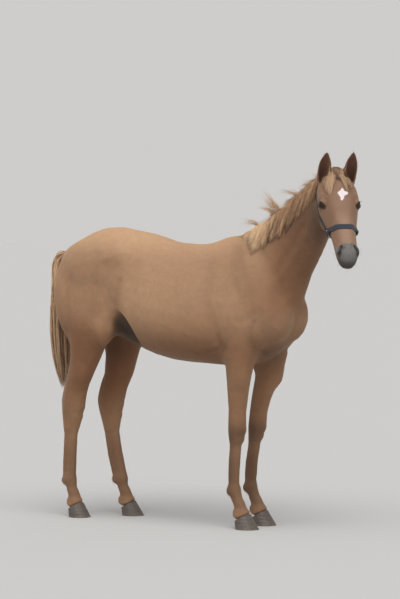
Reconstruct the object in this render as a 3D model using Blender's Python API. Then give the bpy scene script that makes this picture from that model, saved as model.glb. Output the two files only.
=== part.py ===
"""A young chestnut horse, standing with its head turned to its right, in a plain headcollar.

Metres, +X towards the chest, +Y to the horse's left, +Z up, floor at 0.
The flesh is modelled whole: lofts for the trunk, neck, head and limbs, and balls for the
muscles and joints, fused by remeshing. Thin flat cuts then part it into head, neck, trunk and legs.
"""

import math

import bmesh
import bpy
import numpy as np
from mathutils import Matrix, Vector
from mathutils.bvhtree import BVHTree

# ---------------------------------------------------------------- driving sizes
GAP = 0.0004            # between touching pieces
SLIVER = 0.000002       # corners nearer than this are one
VOXEL = 0.007           # grain of the fused flesh
RING = 28               # points round a loft's section

# the head: where the poll is, how far the face turns to the right, and how steeply it points down
POLL = Vector((0.994, -0.104, 1.752))
HEAD_TURN = math.radians(-49)
HEAD_DROP = math.radians(47)

SIDES = {"l": 1.0, "r": -1.0}

for old in list(bpy.data.objects):
    bpy.data.objects.remove(old)


# ---------------------------------------------------------------- helpers
def smooth(keys, at):
    """A smooth curve through (place, value) keys, read at one place."""
    xs = [k[0] for k in keys]
    ys = [k[1] for k in keys]
    if at <= xs[0]:
        return ys[0]
    if at >= xs[-1]:
        return ys[-1]
    i = next(n for n in range(len(xs) - 1) if xs[n] <= at <= xs[n + 1])
    slope = [(ys[n + 1] - ys[n]) / (xs[n + 1] - xs[n]) for n in range(len(xs) - 1)]

    def tangent(n):
        if n == 0:
            return slope[0]
        if n == len(xs) - 1:
            return slope[-1]
        before = xs[n] - xs[n - 1]
        after = xs[n + 1] - xs[n]
        return (slope[n - 1] * after + slope[n] * before) / (before + after)

    step = xs[i + 1] - xs[i]
    t = (at - xs[i]) / step
    return (
        (2 * t**3 - 3 * t**2 + 1) * ys[i]
        + (t**3 - 2 * t**2 + t) * step * tangent(i)
        + (3 * t**2 - 2 * t**3) * ys[i + 1]
        + (t**3 - t**2) * step * tangent(i + 1)
    )


def add_mesh(name, bm):
    mesh = bpy.data.meshes.new(name)
    bmesh.ops.recalc_face_normals(bm, faces=bm.faces)
    bm.to_mesh(mesh)
    bm.free()
    obj = bpy.data.objects.new(name, mesh)
    bpy.context.scene.collection.objects.link(obj)
    return obj


def loft(name, rings):
    """A closed tube through rings of points, with flat ends."""
    bm = bmesh.new()
    rows = [[bm.verts.new(p) for p in ring] for ring in rings]
    count = len(rows[0])
    for below, above in zip(rows, rows[1:]):
        for i in range(count):
            j = (i + 1) % count
            bm.faces.new((below[i], below[j], above[j], above[i]))
    bm.faces.new(rows[0])
    bm.faces.new(rows[-1])
    return add_mesh(name, bm)


def oval(centre, across, up, half_width, half_up, half_down, power_up=2.0, power_down=2.0, count=RING):
    """A ring round centre: its upper and lower halves have their own heights and squareness."""
    points = []
    for i in range(count):
        angle = 2 * math.pi * i / count
        c, s = math.cos(angle), math.sin(angle)
        power = power_up if s >= 0 else power_down
        half = half_up if s >= 0 else half_down
        x = half_width * math.copysign(abs(c) ** (2 / power), c)
        y = half * math.copysign(abs(s) ** (2 / power), s)
        points.append(Vector(centre) + across * x + up * y)
    return points


def ball(name, centre, radii, turn=None):
    """A muscle or a joint: an ellipsoid with half-sizes radii, turned by a rotation matrix."""
    bm = bmesh.new()
    place = Matrix.Translation(centre) @ (turn.to_4x4() if turn else Matrix()) @ Matrix.Diagonal((*radii, 1))
    bmesh.ops.create_icosphere(bm, subdivisions=4, radius=1, matrix=place)
    return add_mesh(name, bm)


def along(direction, roll_to=Vector((0, 1, 0))):
    """A rotation whose Z runs along direction and whose Y lies as near roll_to as it can."""
    z = Vector(direction).normalized()
    x = Vector(roll_to).cross(z).normalized()
    y = z.cross(x)
    return Matrix((x, y, z)).transposed()


def capsule(name, start, end, r_start, r_end, flat=1.0, roll_to=Vector((0, 1, 0)), rings=12):
    """A tapered rod with round ends. flat squeezes it along roll_to."""
    start, end = Vector(start), Vector(end)
    turn = along(end - start, roll_to)
    length = (end - start).length
    rows = []
    for i in range(rings + 1):
        angle = -math.pi / 2 + math.pi * i / rings
        radius = r_start + (r_end - r_start) * (0.5 + 0.5 * math.sin(angle))
        base = 0 if angle < 0 else length
        height = base + (r_start if angle < 0 else r_end) * math.sin(angle)
        width = max(radius * math.cos(angle), 0.0005)
        ring = []
        for k in range(RING):
            a = 2 * math.pi * k / RING
            ring.append(start + turn @ Vector((width * math.cos(a), flat * width * math.sin(a), height)))
        rows.append(ring)
    return loft(name, rows)


def apply_modifiers(obj):
    graph = bpy.context.evaluated_depsgraph_get()
    mesh = bpy.data.meshes.new_from_object(obj.evaluated_get(graph))
    obj.modifiers.clear()
    obj.data = mesh
    return obj


def join(name, objects):
    """One object that holds the meshes of all."""
    bm = bmesh.new()
    for obj in objects:
        obj.data.transform(obj.matrix_world)
        bm.from_mesh(obj.data)
    for obj in objects:
        bpy.data.objects.remove(obj)
    mesh = bpy.data.meshes.new(name)
    bm.to_mesh(mesh)
    bm.free()
    joined = bpy.data.objects.new(name, mesh)
    bpy.context.scene.collection.objects.link(joined)
    return joined


def remesh(obj, voxel):
    modifier = obj.modifiers.new("remesh", "REMESH")
    modifier.mode = "VOXEL"
    modifier.voxel_size = voxel
    return apply_modifiers(obj)


def swell(obj, distance):
    modifier = obj.modifiers.new("swell", "DISPLACE")
    modifier.mid_level = 0
    modifier.strength = distance
    return apply_modifiers(obj)


def soften(obj, factor, times):
    modifier = obj.modifiers.new("soften", "SMOOTH")
    modifier.factor = factor
    modifier.iterations = times
    return apply_modifiers(obj)


def fuse(name, objects, voxel, fillet):
    """Joins overlapping closed pieces into one skin and rounds every crease between them to the fillet radius."""
    body = remesh(join(name, objects), voxel)
    swell(body, fillet)
    remesh(body, voxel)
    swell(body, -fillet)
    remesh(body, voxel)
    return soften(body, 0.5, 3)


# ---------------------------------------------------------------- trunk
TOPLINE = [(-0.70, 1.335), (-0.66, 1.372), (-0.596, 1.402), (-0.54, 1.429), (-0.49, 1.452), (-0.43, 1.470),
           (-0.353, 1.477), (-0.214, 1.457), (-0.087, 1.431), (-0.02, 1.409), (0.095, 1.396), (0.18, 1.394),
           (0.24, 1.406), (0.30, 1.430), (0.39, 1.446), (0.50, 1.43), (0.60, 1.33), (0.71, 1.18)]
UNDERLINE = [(-0.70, 1.20), (-0.62, 1.10), (-0.48, 1.020), (-0.38, 0.975), (-0.28, 0.902), (-0.20, 0.868), (-0.10, 0.836),
             (0.05, 0.808), (0.20, 0.798), (0.36, 0.793), (0.46, 0.803), (0.55, 0.835), (0.64, 0.90), (0.71, 1.00)]
HALF_WIDTH = [(-0.70, 0.040), (-0.66, 0.085), (-0.58, 0.135), (-0.46, 0.170), (-0.34, 0.185), (-0.22, 0.215),
              (-0.08, 0.248), (0.06, 0.258), (0.20, 0.240), (0.34, 0.195), (0.46, 0.165), (0.56, 0.145),
              (0.64, 0.120), (0.71, 0.075)]
WIDEST = [(-0.70, 0.5), (-0.40, 0.60), (-0.20, 0.50), (0.05, 0.42), (0.30, 0.42), (0.71, 0.45)]
POWER_UP = [(-0.70, 2.0), (-0.40, 1.9), (-0.10, 2.0), (0.15, 1.8), (0.38, 1.35), (0.71, 1.8)]
POWER_DOWN = [(-0.70, 2.0), (-0.40, 1.7), (-0.25, 1.8), (-0.05, 2.15), (0.71, 2.15)]
TRUNK_STATIONS = 40


def trunk():
    rings = []
    first, last = TOPLINE[0][0], TOPLINE[-1][0]
    for i in range(TRUNK_STATIONS + 1):
        x = first + (last - first) * i / TRUNK_STATIONS
        top, bottom = smooth(TOPLINE, x), smooth(UNDERLINE, x)
        middle = bottom + smooth(WIDEST, x) * (top - bottom)
        rings.append(oval((x, 0, middle), Vector((0, 1, 0)), Vector((0, 0, 1)), smooth(HALF_WIDTH, x),
                          top - middle, middle - bottom, smooth(POWER_UP, x), smooth(POWER_DOWN, x)))
    return loft("trunk_loft", rings)


# ---------------------------------------------------------------- neck
CREST = [(0.28, 0, 1.36), (0.42, 0, 1.444), (0.54, 0.0, 1.506), (0.66, -0.010, 1.580), (0.77, -0.030, 1.654),
         (0.87, -0.058, 1.712), (0.95, -0.085, 1.738)]
THROAT = [(0.50, 0, 0.90), (0.66, 0, 1.00), (0.738, 0.0, 1.13), (0.776, -0.002, 1.225), (0.832, -0.014, 1.315),
          (0.880, -0.034, 1.395), (0.922, -0.060, 1.470)]
NECK_HALF_WIDTH = [(0, 0.12), (1, 0.125), (2, 0.106), (3, 0.088), (4, 0.078), (5, 0.071), (6, 0.066)]
NECK_STEPS = 24


def neck_line(keys, at):
    return Vector([smooth([(n, key[axis]) for n, key in enumerate(keys)], at) for axis in range(3)])


def neck():
    rings = []
    last = len(CREST) - 1
    for i in range(NECK_STEPS + 1):
        at = last * i / NECK_STEPS
        crest, throat = neck_line(CREST, at), neck_line(THROAT, at)
        step = 0.05
        ahead = (neck_line(CREST, at + step) + neck_line(THROAT, at + step)) / 2
        behind = (neck_line(CREST, at - step) + neck_line(THROAT, at - step)) / 2
        up = (crest - throat).normalized()
        across = up.cross((ahead - behind).normalized()).normalized()
        height = (crest - throat).length
        middle = throat + up * height * 0.42
        rings.append(oval(middle, across, up, smooth(NECK_HALF_WIDTH, at), height * 0.58, height * 0.42, 1.7, 2.0))
    return loft("neck_loft", rings)


# ---------------------------------------------------------------- head
FORWARD = Vector((math.cos(HEAD_TURN), math.sin(HEAD_TURN), 0))
DOWN_FACE = FORWARD * math.cos(HEAD_DROP) - Vector((0, 0, 1)) * math.sin(HEAD_DROP)   # poll to nose
OFF_FACE = FORWARD * math.sin(HEAD_DROP) + Vector((0, 0, 1)) * math.cos(HEAD_DROP)    # straight out of the forehead
HEAD_LEFT = Vector((0, 0, 1)).cross(FORWARD)


def head_point(down, left, off):
    """A place on the head: distance down the face from the poll, to its left, and off the face line."""
    return POLL + DOWN_FACE * down + HEAD_LEFT * left + OFF_FACE * off


HEAD_TURN_MATRIX = Matrix((HEAD_LEFT, OFF_FACE, DOWN_FACE)).transposed()

# sections down the face. Each is: distance, face line, then half-width and depth of the brow or nose bridge,
# of the widest place, and of the jaw's edge, and last the depth of the jaw's underside
HEAD_SECTIONS = [
    # down   line   bridge          widest          jaw edge        underside
    (-0.020, -0.030, 0.030, 0.012, 0.060, 0.050, 0.050, 0.110, 0.150),
    (0.030, -0.008, 0.042, 0.008, 0.080, 0.048, 0.058, 0.130, 0.188),
    (0.080, 0.002, 0.056, 0.008, 0.094, 0.048, 0.068, 0.155, 0.220),
    (0.135, 0.006, 0.066, 0.010, 0.099, 0.046, 0.076, 0.172, 0.240),
    (0.190, 0.006, 0.062, 0.011, 0.095, 0.056, 0.074, 0.172, 0.240),
    (0.240, 0.003, 0.050, 0.010, 0.083, 0.064, 0.064, 0.155, 0.216),
    (0.290, 0.000, 0.040, 0.009, 0.072, 0.064, 0.051, 0.132, 0.180),
    (0.340, -0.001, 0.034, 0.008, 0.062, 0.060, 0.047, 0.112, 0.152),
    (0.390, -0.001, 0.032, 0.008, 0.060, 0.056, 0.047, 0.098, 0.132),
    (0.440, -0.001, 0.032, 0.008, 0.057, 0.050, 0.046, 0.090, 0.121),
    (0.485, -0.002, 0.033, 0.009, 0.054, 0.046, 0.044, 0.084, 0.116),
    (0.520, -0.006, 0.032, 0.011, 0.048, 0.045, 0.041, 0.078, 0.108),
    (0.548, -0.016, 0.027, 0.013, 0.040, 0.038, 0.032, 0.062, 0.085),
    (0.564, -0.032, 0.018, 0.010, 0.027, 0.026, 0.021, 0.042, 0.052),
]
SECTION_POINTS = 36


def closed_curve(points, count):
    """A smooth closed curve through the points, as count points."""
    n = len(points)
    made = []
    for k in range(count):
        at = n * k / count
        i = int(at) % n
        t = at - int(at)
        a, b, c, d = (points[(i + o) % n] for o in (-1, 0, 1, 2))
        made.append(0.5 * ((2 * b) + (c - a) * t + (2 * a - 5 * b + 4 * c - d) * t**2 + (3 * b - a - 3 * c + d) * t**3))
    return made


def head_value(column, down):
    return smooth([(row[0], row[column]) for row in HEAD_SECTIONS], down)


def head_ring(down):
    line, w1, d1, w2, d2, w3, d3, d4 = (head_value(c, down) for c in range(1, 9))
    outline = [(0, 0), (w1, d1), (w2, d2), (0.93 * w2, (d2 + d3) / 2 - 0.004), (w3, d3), (0.6 * w3, (d3 + 2 * d4) / 3),
               (0, d4)]
    mirrored = [(-w, d) for w, d in outline[-2:0:-1]]
    corners = [head_point(down, w, line - d) for w, d in outline + mirrored]
    return closed_curve(corners, SECTION_POINTS)


def head():
    first, last = HEAD_SECTIONS[0][0], HEAD_SECTIONS[-1][0]
    pieces = [loft("head_loft", [head_ring(first + (last - first) * i / 40) for i in range(41)])]
    for side in SIDES.values():
        pieces += [
            # cheek: the flat round muscle over the jaw
            ball("masseter", head_point(0.165, side * 0.060, -0.130), (0.024, 0.085, 0.090), HEAD_TURN_MATRIX),
            # bone above and behind the eye, and the ridge that runs from under it
            ball("brow", head_point(0.160, side * 0.079, -0.030), (0.020, 0.020, 0.034), HEAD_TURN_MATRIX),
            ball("eye_mound", head_point(0.192, side * 0.080, -0.060), (0.020, 0.026, 0.032), HEAD_TURN_MATRIX),
            capsule("facial_crest", head_point(0.225, side * 0.080, -0.072), head_point(0.325, side * 0.055, -0.062),
                    0.012, 0.007, 0.8, HEAD_LEFT * side),
            # nostril wing, lip corner and chin
            ball("nostril", head_point(0.497, side * 0.036, -0.036), (0.020, 0.030, 0.034), HEAD_TURN_MATRIX),
            ball("upper_lip", head_point(0.530, side * 0.020, -0.050), (0.026, 0.026, 0.028), HEAD_TURN_MATRIX),
        ]
    pieces.append(ball("chin", head_point(0.500, 0, -0.105), (0.030, 0.024, 0.040), HEAD_TURN_MATRIX))
    pieces.append(ball("lower_lip", head_point(0.532, 0, -0.088), (0.027, 0.016, 0.022), HEAD_TURN_MATRIX))
    pieces.append(ball("poll_bone", head_point(0.012, 0, -0.036), (0.060, 0.034, 0.052), HEAD_TURN_MATRIX))
    return pieces


# ---------------------------------------------------------------- legs
# where each leg's bones run: x and y at heights from the top to the fetlock
FORE_LINE = {
    "r": [(0.19, 0.408, 0.098), (0.30, 0.412, 0.100), (0.41, 0.424, 0.103), (0.46, 0.429, 0.104), (0.53, 0.4345, 0.107),
          (0.60, 0.438, 0.110), (0.70, 0.445, 0.115), (0.78, 0.453, 0.120), (0.88, 0.468, 0.126), (0.98, 0.48, 0.13)],
    "l": [(0.19, 0.378, 0.098), (0.30, 0.386, 0.100), (0.41, 0.400, 0.103), (0.46, 0.408, 0.104), (0.51, 0.414, 0.107),
          (0.59, 0.424, 0.110), (0.66, 0.442, 0.113), (0.73, 0.463, 0.117), (0.80, 0.480, 0.121), (0.88, 0.490, 0.126),
          (0.98, 0.50, 0.13)],
}
HIND_LINE = {
    "r": [(0.19, -0.597, 0.098), (0.36, -0.590, 0.100), (0.46, -0.580, 0.102), (0.57, -0.566, 0.105), (0.61, -0.556, 0.107),
          (0.665, -0.538, 0.111), (0.76, -0.497, 0.119), (0.85, -0.468, 0.127), (0.93, -0.457, 0.130), (1.02, -0.465, 0.128),
          (1.10, -0.48, 0.120), (1.26, -0.49, 0.10)],
    "l": [(0.19, -0.418, 0.098), (0.28, -0.442, 0.099), (0.36, -0.460, 0.100), (0.46, -0.478, 0.102), (0.56, -0.484, 0.105),
          (0.61, -0.472, 0.107), (0.683, -0.449, 0.111), (0.76, -0.436, 0.119), (0.85, -0.432, 0.127), (0.93, -0.440, 0.130),
          (1.02, -0.460, 0.128), (1.10, -0.48, 0.120), (1.26, -0.49, 0.10)],
}
# sections up each leg: height, reach in front of the bone line, reach behind it, half-width
FORE_SECTIONS = [
    (0.41, 0.038, 0.040, 0.030), (0.435, 0.046, 0.046, 0.037), (0.47, 0.052, 0.050, 0.042), (0.51, 0.051, 0.051, 0.042),
    (0.55, 0.050, 0.052, 0.039), (0.60, 0.054, 0.055, 0.040), (0.66, 0.060, 0.061, 0.044), (0.72, 0.066, 0.067, 0.049),
    (0.78, 0.076, 0.076, 0.055), (0.85, 0.086, 0.090, 0.060), (0.98, 0.080, 0.085, 0.050),
]
HIND_SECTIONS = [
    (0.42, 0.047, 0.046, 0.034), (0.46, 0.057, 0.051, 0.038), (0.51, 0.070, 0.060, 0.043), (0.56, 0.079, 0.073, 0.044),
    (0.60, 0.079, 0.074, 0.043), (0.64, 0.076, 0.074, 0.043), (0.69, 0.079, 0.078, 0.047), (0.76, 0.087, 0.084, 0.055),
    (0.85, 0.108, 0.088, 0.073), (0.93, 0.130, 0.104, 0.084), (1.02, 0.160, 0.140, 0.088), (1.10, 0.175, 0.165, 0.088),
    (1.18, 0.180, 0.180, 0.086), (1.26, 0.16, 0.16, 0.08),
]
TOE_OUT = {"fore": math.radians(3), "hind": math.radians(7)}
CANNON_TOP, FETLOCK = 0.43, 0.19
HOOF_TOP = 0.078
PASTERN_LEAN = {"fore": 0.052, "hind": 0.046}     # how far the coronet is in front of the fetlock


def leg_line(line, side, height):
    x = smooth([(k[0], k[1]) for k in line], height)
    y = smooth([(k[0], k[2]) for k in line], height)
    return Vector((x, side * y, height))


def leg_axes(side, kind):
    """The forward and outward directions of a leg, whose toe points a little out."""
    turn = Matrix.Rotation(side * TOE_OUT[kind], 3, "Z")
    return turn @ Vector((1, 0, 0)), turn @ Vector((0, side, 0))


def limb(name, line, sections, side, kind):
    """The upper leg: a loft that follows the bone line."""
    ahead_axis, out_axis = leg_axes(side, kind)
    rings = []
    low, high = sections[0][0], sections[-1][0]
    steps = 34
    for i in range(steps + 1):
        height = low + (high - low) * i / steps
        middle = leg_line(line, side, height)
        ahead = smooth([(s[0], s[1]) for s in sections], height)
        behind = smooth([(s[0], s[2]) for s in sections], height)
        width = smooth([(s[0], s[3]) for s in sections], height)
        rings.append(oval(middle, out_axis, ahead_axis, width, ahead, behind))
    return loft(name, rings)


def coronet(line, side, kind):
    low = leg_line(line, side, FETLOCK)
    ahead, out = leg_axes(side, kind)
    return Vector((low.x, low.y, HOOF_TOP)) + ahead * PASTERN_LEAN[kind]


def lower_leg(line, side, kind):
    """Cannon bone, the tendons behind it, fetlock joint and pastern."""
    ahead, out = leg_axes(side, kind)
    top, low = leg_line(line, side, CANNON_TOP + 0.02), leg_line(line, side, FETLOCK)
    middle = leg_line(line, side, (CANNON_TOP + FETLOCK) / 2)
    bone, deep, tendon, back = (0.0215, 0.011, 0.0160, 0.0225) if kind == "fore" else (0.0250, 0.018, 0.0180, 0.0265)
    joint = 1.0 if kind == "fore" else 1.12
    toe = coronet(line, side, kind)
    pieces = []
    for start, end in ((top, middle), (middle, low)):
        pieces.append(capsule("cannon", start + ahead * deep, end + ahead * (deep - 0.002), bone, bone, 0.95, out))
        pieces.append(capsule("tendon", start - ahead * back, end - ahead * (back - 0.002), tendon, tendon, 0.95, out))
    pieces += [
        ball("fetlock", low + ahead * 0.004 - Vector((0, 0, 0.004)), (0.037 * joint, 0.031 * joint, 0.039)),
        ball("sesamoid", low - ahead * 0.023 * joint - Vector((0, 0, 0.008)), (0.020 * joint, 0.026, 0.026)),
        capsule("pastern", low + ahead * 0.006 - Vector((0, 0, 0.015)), toe + Vector((0, 0, 0.004)), 0.0285, 0.033, 0.98, out),
        ball("heel", toe - ahead * 0.032 - Vector((0, 0, 0.006)), (0.024, 0.034, 0.022)),
        ball("crown", toe - ahead * 0.004 - Vector((0, 0, 0.012)), (0.046, 0.044, 0.026)),
    ]
    return pieces


def placed(name, middle, axes, ahead, outward, up, radii, lean=0.0, tilt=0.0):
    """A ball beside a leg: moved ahead, outward and up, its top leaning back and outward."""
    front, out = axes
    centre = middle + front * ahead + out * outward + Vector((0, 0, up))
    return ball(name, centre, radii, along(-front * lean + out * tilt + Vector((0, 0, 1)), out))


def groin_hollow(side):
    """The deep fold in front of the thigh, where the belly is drawn up and inward."""
    slope = (-0.30, 0, 1)
    return ball("groin_hollow", (-0.208, side * 0.200, 0.915), (0.074, 0.147, 0.146), along(slope))


def fore_leg(side, line):
    axes = leg_axes(side, "fore")
    knee, elbow = leg_line(line, side, 0.485), leg_line(line, side, 0.88)
    shoulder = Vector((elbow.x * 0.5 + 0.24, side * 0.126, 0.88))
    front = (Vector((1, 0, 0)), Vector((0, side, 0)))
    pieces = [limb("forearm", line, FORE_SECTIONS, side, "fore")] + lower_leg(line, side, "fore")
    pieces += [
        placed("knee", knee, axes, 0.006, 0, 0.002, (0.040, 0.041, 0.046)),
        placed("carpal_knob", knee, axes, -0.036, 0.004, 0.004, (0.015, 0.020, 0.026)),
        placed("extensor", elbow, axes, 0.004, 0.014, -0.090, (0.052, 0.046, 0.115), 0.05),
        placed("elbow_point", elbow, axes, -0.074, 0.000, 0.020, (0.030, 0.036, 0.050), -0.2),
        placed("triceps", shoulder, front, -0.035, 0.006, 0.135, (0.125, 0.062, 0.150), 0.45),
        placed("upper_arm", shoulder, front, 0.075, 0.000, 0.100, (0.080, 0.062, 0.120), -0.45),
        placed("shoulder_point", shoulder, front, 0.125, 0.000, 0.185, (0.080, 0.060, 0.085), 0.1),
        placed("shoulder_blade", shoulder, front, 0.045, -0.020, 0.310, (0.115, 0.058, 0.240), 0.48, -0.24),
        placed("breast", Vector((0.640, side * 0.070, 1.030)), front, 0, 0, 0, (0.080, 0.078, 0.120), -0.20),
    ]
    return pieces


def hind_leg(side, line):
    axes = leg_axes(side, "hind")
    front = (Vector((1, 0, 0)), Vector((0, side, 0)))
    hock, gaskin = leg_line(line, side, 0.565), leg_line(line, side, 0.76)
    stifle, thigh = leg_line(line, side, 0.95), Vector((-0.48, side * 0.120, 1.10))
    pieces = [limb("thigh_loft", line, HIND_SECTIONS, side, "hind")] + lower_leg(line, side, "hind")
    pieces += [
        placed("hock_point", hock, axes, -0.056, 0, 0.026, (0.020, 0.020, 0.034), -0.1),
        placed("achilles", hock, axes, -0.046, 0, 0.085, (0.018, 0.016, 0.100), -0.30),
        placed("hock", hock, axes, 0.012, 0, -0.030, (0.048, 0.042, 0.060), -0.1),
        placed("calf", gaskin, axes, 0.014, 0.018, 0.000, (0.066, 0.048, 0.120), -0.35),
        placed("stifle", stifle, axes, 0.100, 0.014, 0.000, (0.064, 0.060, 0.085), 0.25),
        placed("quadriceps", thigh, front, 0.090, 0.012, 0.020, (0.115, 0.078, 0.200), 0.15),
        placed("hamstring", thigh, front, -0.080, -0.004, -0.020, (0.092, 0.086, 0.220), 0.22),
        placed("gluteus", Vector((-0.40, side * 0.085, 1.255)), front, 0, 0, 0, (0.255, 0.130, 0.175)),
        placed("hip_point", Vector((-0.250, side * 0.140, 1.310)), front, 0, 0, 0, (0.095, 0.066, 0.090)),
        placed("buttock", Vector((-0.600, side * 0.062, 1.200)), front, 0, 0, 0, (0.085, 0.070, 0.140), 0.05),
    ]
    return pieces


def flesh():
    bulk = [trunk(), neck()]
    detail = head()
    for name, side in SIDES.items():
        for piece in fore_leg(side, FORE_LINE[name]) + hind_leg(side, HIND_LINE[name]):
            (bulk if piece.name.split(".")[0] in UPPER else detail).append(piece)
    body = fuse("bulk", bulk, VOXEL * 1.4, 0.035)
    for side in SIDES.values():
        boolean(body, groin_hollow(side), "DIFFERENCE")
    body = remesh(body, VOXEL * 1.4)
    soften(body, 0.5, 12)
    return fuse("flesh", [body] + detail, VOXEL, 0.010)


UPPER = {"forearm", "thigh_loft", "triceps", "upper_arm", "shoulder_point", "shoulder_blade", "breast", "quadriceps",
         "hamstring", "gluteus", "hip_point", "buttock", "stifle", "extensor", "calf", "elbow_point"}


# ---------------------------------------------------------------- parting
def bisect(obj, name, point, normal, keep_front):
    """A copy of the part of obj on one side of a plane, closed with a flat cap."""
    bm = bmesh.new()
    bm.from_mesh(obj.data)
    bmesh.ops.bisect_plane(bm, geom=bm.verts[:] + bm.edges[:] + bm.faces[:], dist=1e-7, plane_co=point,
                           plane_no=normal, clear_outer=not keep_front, clear_inner=keep_front)
    rim = [edge for edge in bm.edges if edge.is_boundary]
    caps = bmesh.ops.holes_fill(bm, edges=rim, sides=0)["faces"]
    bmesh.ops.triangulate(bm, faces=caps)
    return add_mesh(name, bm)


def boolean(obj, tool, operation):
    """Applies a boolean with the tool, and removes the tool."""
    modifier = obj.modifiers.new("boolean", "BOOLEAN")
    modifier.operation = operation
    modifier.solver = "EXACT"
    modifier.object = tool
    apply_modifiers(obj)
    bpy.data.objects.remove(tool)
    return obj


def block(corners):
    """A six-sided block: four corners round its floor, then the four above them."""
    bm = bmesh.new()
    verts = [bm.verts.new(c) for c in corners]
    for face in ((0, 1, 2, 3), (4, 5, 6, 7), (0, 1, 5, 4), (1, 2, 6, 5), (2, 3, 7, 6), (3, 0, 4, 7)):
        bm.faces.new([verts[i] for i in face])
    return add_mesh("block", bm)


def part_off(obj, name, corners):
    """Parts what lies in a block from obj, with a thin gap at the cut. Returns that piece; obj keeps the rest."""
    inside = boolean(copy_of(obj, name), swell_block(corners, -GAP / 2), "INTERSECT")
    boolean(obj, swell_block(corners, GAP / 2), "DIFFERENCE")
    return inside


def swell_block(corners, distance):
    """A block with each of its faces moved out by distance."""
    made = block(corners)
    bm = bmesh.new()
    bm.from_mesh(made.data)
    bmesh.ops.recalc_face_normals(bm, faces=bm.faces)
    moved = {v: sum((f.normal for f in v.link_faces), Vector()) * distance for v in bm.verts}
    for vert, move in moved.items():
        vert.co += move
    bm.to_mesh(made.data)
    bm.free()
    return made


def keep_largest(obj):
    """Leaves only the largest of a mesh's separate pieces, without slivers."""
    bm = bmesh.new()
    bm.from_mesh(obj.data)
    bmesh.ops.remove_doubles(bm, verts=bm.verts, dist=SLIVER)
    bmesh.ops.dissolve_degenerate(bm, edges=bm.edges, dist=SLIVER)
    left, groups = set(bm.verts), []
    while left:
        stack, group = [left.pop()], []
        while stack:
            vert = stack.pop()
            group.append(vert)
            for edge in vert.link_edges:
                other = edge.other_vert(vert)
                if other in left:
                    left.discard(other)
                    stack.append(other)
        groups.append(group)
    groups.sort(key=len)
    bmesh.ops.delete(bm, geom=[v for group in groups[:-1] for v in group], context="VERTS")
    bmesh.ops.triangulate(bm, faces=bm.faces)
    bm.to_mesh(obj.data)
    bm.free()
    return obj


def reduce(obj, faces, plain):
    """Fewer triangles, most of them taken from the plain places, where plain(point) nears 1."""
    obj.modifiers.new("triangles", "TRIANGULATE")
    apply_modifiers(obj)
    group = obj.vertex_groups.new(name="plain")
    for vert in obj.data.vertices:
        group.add([vert.index], plain(vert.co), "REPLACE")
    modifier = obj.modifiers.new("fewer", "DECIMATE")
    modifier.ratio = faces / len(obj.data.polygons)
    modifier.vertex_group = group.name
    modifier.vertex_group_factor = FINE_FACTOR
    return apply_modifiers(obj)


def plainness(point):
    """1 on the broad trunk and neck, less on the head and the lower legs."""
    near_head = max(0.0, min(1.0, (point.x - 0.88) / 0.10))
    low = max(0.0, min(1.0, (0.92 - point.z) / 0.12))
    return 1.0 - max(0.96 * near_head, 0.6 * low)


def copy_of(obj, name):
    twin = bpy.data.objects.new(name, obj.data.copy())
    bpy.context.scene.collection.objects.link(twin)
    return twin


def carve(obj, tool):
    """Takes the tool's space, and a thin gap round it, out of obj. Keeps the largest piece."""
    return keep_largest(boolean(obj, swell(copy_of(tool, "grown"), GAP), "DIFFERENCE"))


class Surface:
    """Finds places on a mesh."""

    def __init__(self, obj):
        self.tree = BVHTree.FromPolygons([v.co for v in obj.data.vertices], [list(p.vertices) for p in obj.data.polygons])

    def toward(self, middle, out, reach=0.30):
        """The first place on the mesh met from outside, going in along -out to middle."""
        hit = self.tree.ray_cast(middle + out * reach, -out, reach * 1.6)[0]
        return hit if hit is not None else middle


def pulled_taut(heights):
    """Heights of an open strap over its line, raised so that it bridges the hollows."""
    for _ in range(TAUT_PASSES):
        for i in range(1, len(heights) - 1):
            heights[i] = max(heights[i], (heights[i - 1] + heights[i + 1]) / 2)
    return heights


def strap(name, surface, spots, width, closed):
    """A flat band laid on the surface through spots of (middle, outward, across)."""
    edges = []
    for side in (-0.5, 0.5):
        feet = [middle + across * width * side for middle, out, across in spots]
        heights = [(surface.toward(foot, out) - foot).dot(out) for foot, (middle, out, across) in zip(feet, spots)]
        heights = heights if closed else pulled_taut(heights)
        edges.append([foot + out * height for foot, height, (middle, out, across) in zip(feet, heights, spots)])
    bm = bmesh.new()
    rings = []
    for upper, lower, (middle, out, across) in zip(*edges, spots):
        rings.append([bm.verts.new(p) for p in (upper - out * STRAP_SINK, upper + out * STRAP_THICK,
                                                lower + out * STRAP_THICK, lower - out * STRAP_SINK)])
    for first, second in zip(rings, rings[1:] + ([rings[0]] if closed else [])):
        for i in range(4):
            j = (i + 1) % 4
            bm.faces.new((first[i], first[j], second[j], second[i]))
    if not closed:
        bm.faces.new(rings[0])
        bm.faces.new(rings[-1])
    return add_mesh(name, bm)


# ---------------------------------------------------------------- ears, eyes, hooves
EAR_LENGTH, EAR_HALF_WIDTH, EAR_WALL = 0.177, 0.0330, 0.0065
EAR_LEAN = math.radians(33)
EAR_IN, EAR_TURN_OUT = {1: -0.03, -1: 0.05}, {1: 0.12, -1: 0.28}      # tip towards the other ear, opening away from it
EAR_STEPS, EAR_POINTS = 8, 8
EYE_PLACE, EYE_RADIUS = (0.188, 0.0775, -0.0455), 0.0215


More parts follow.
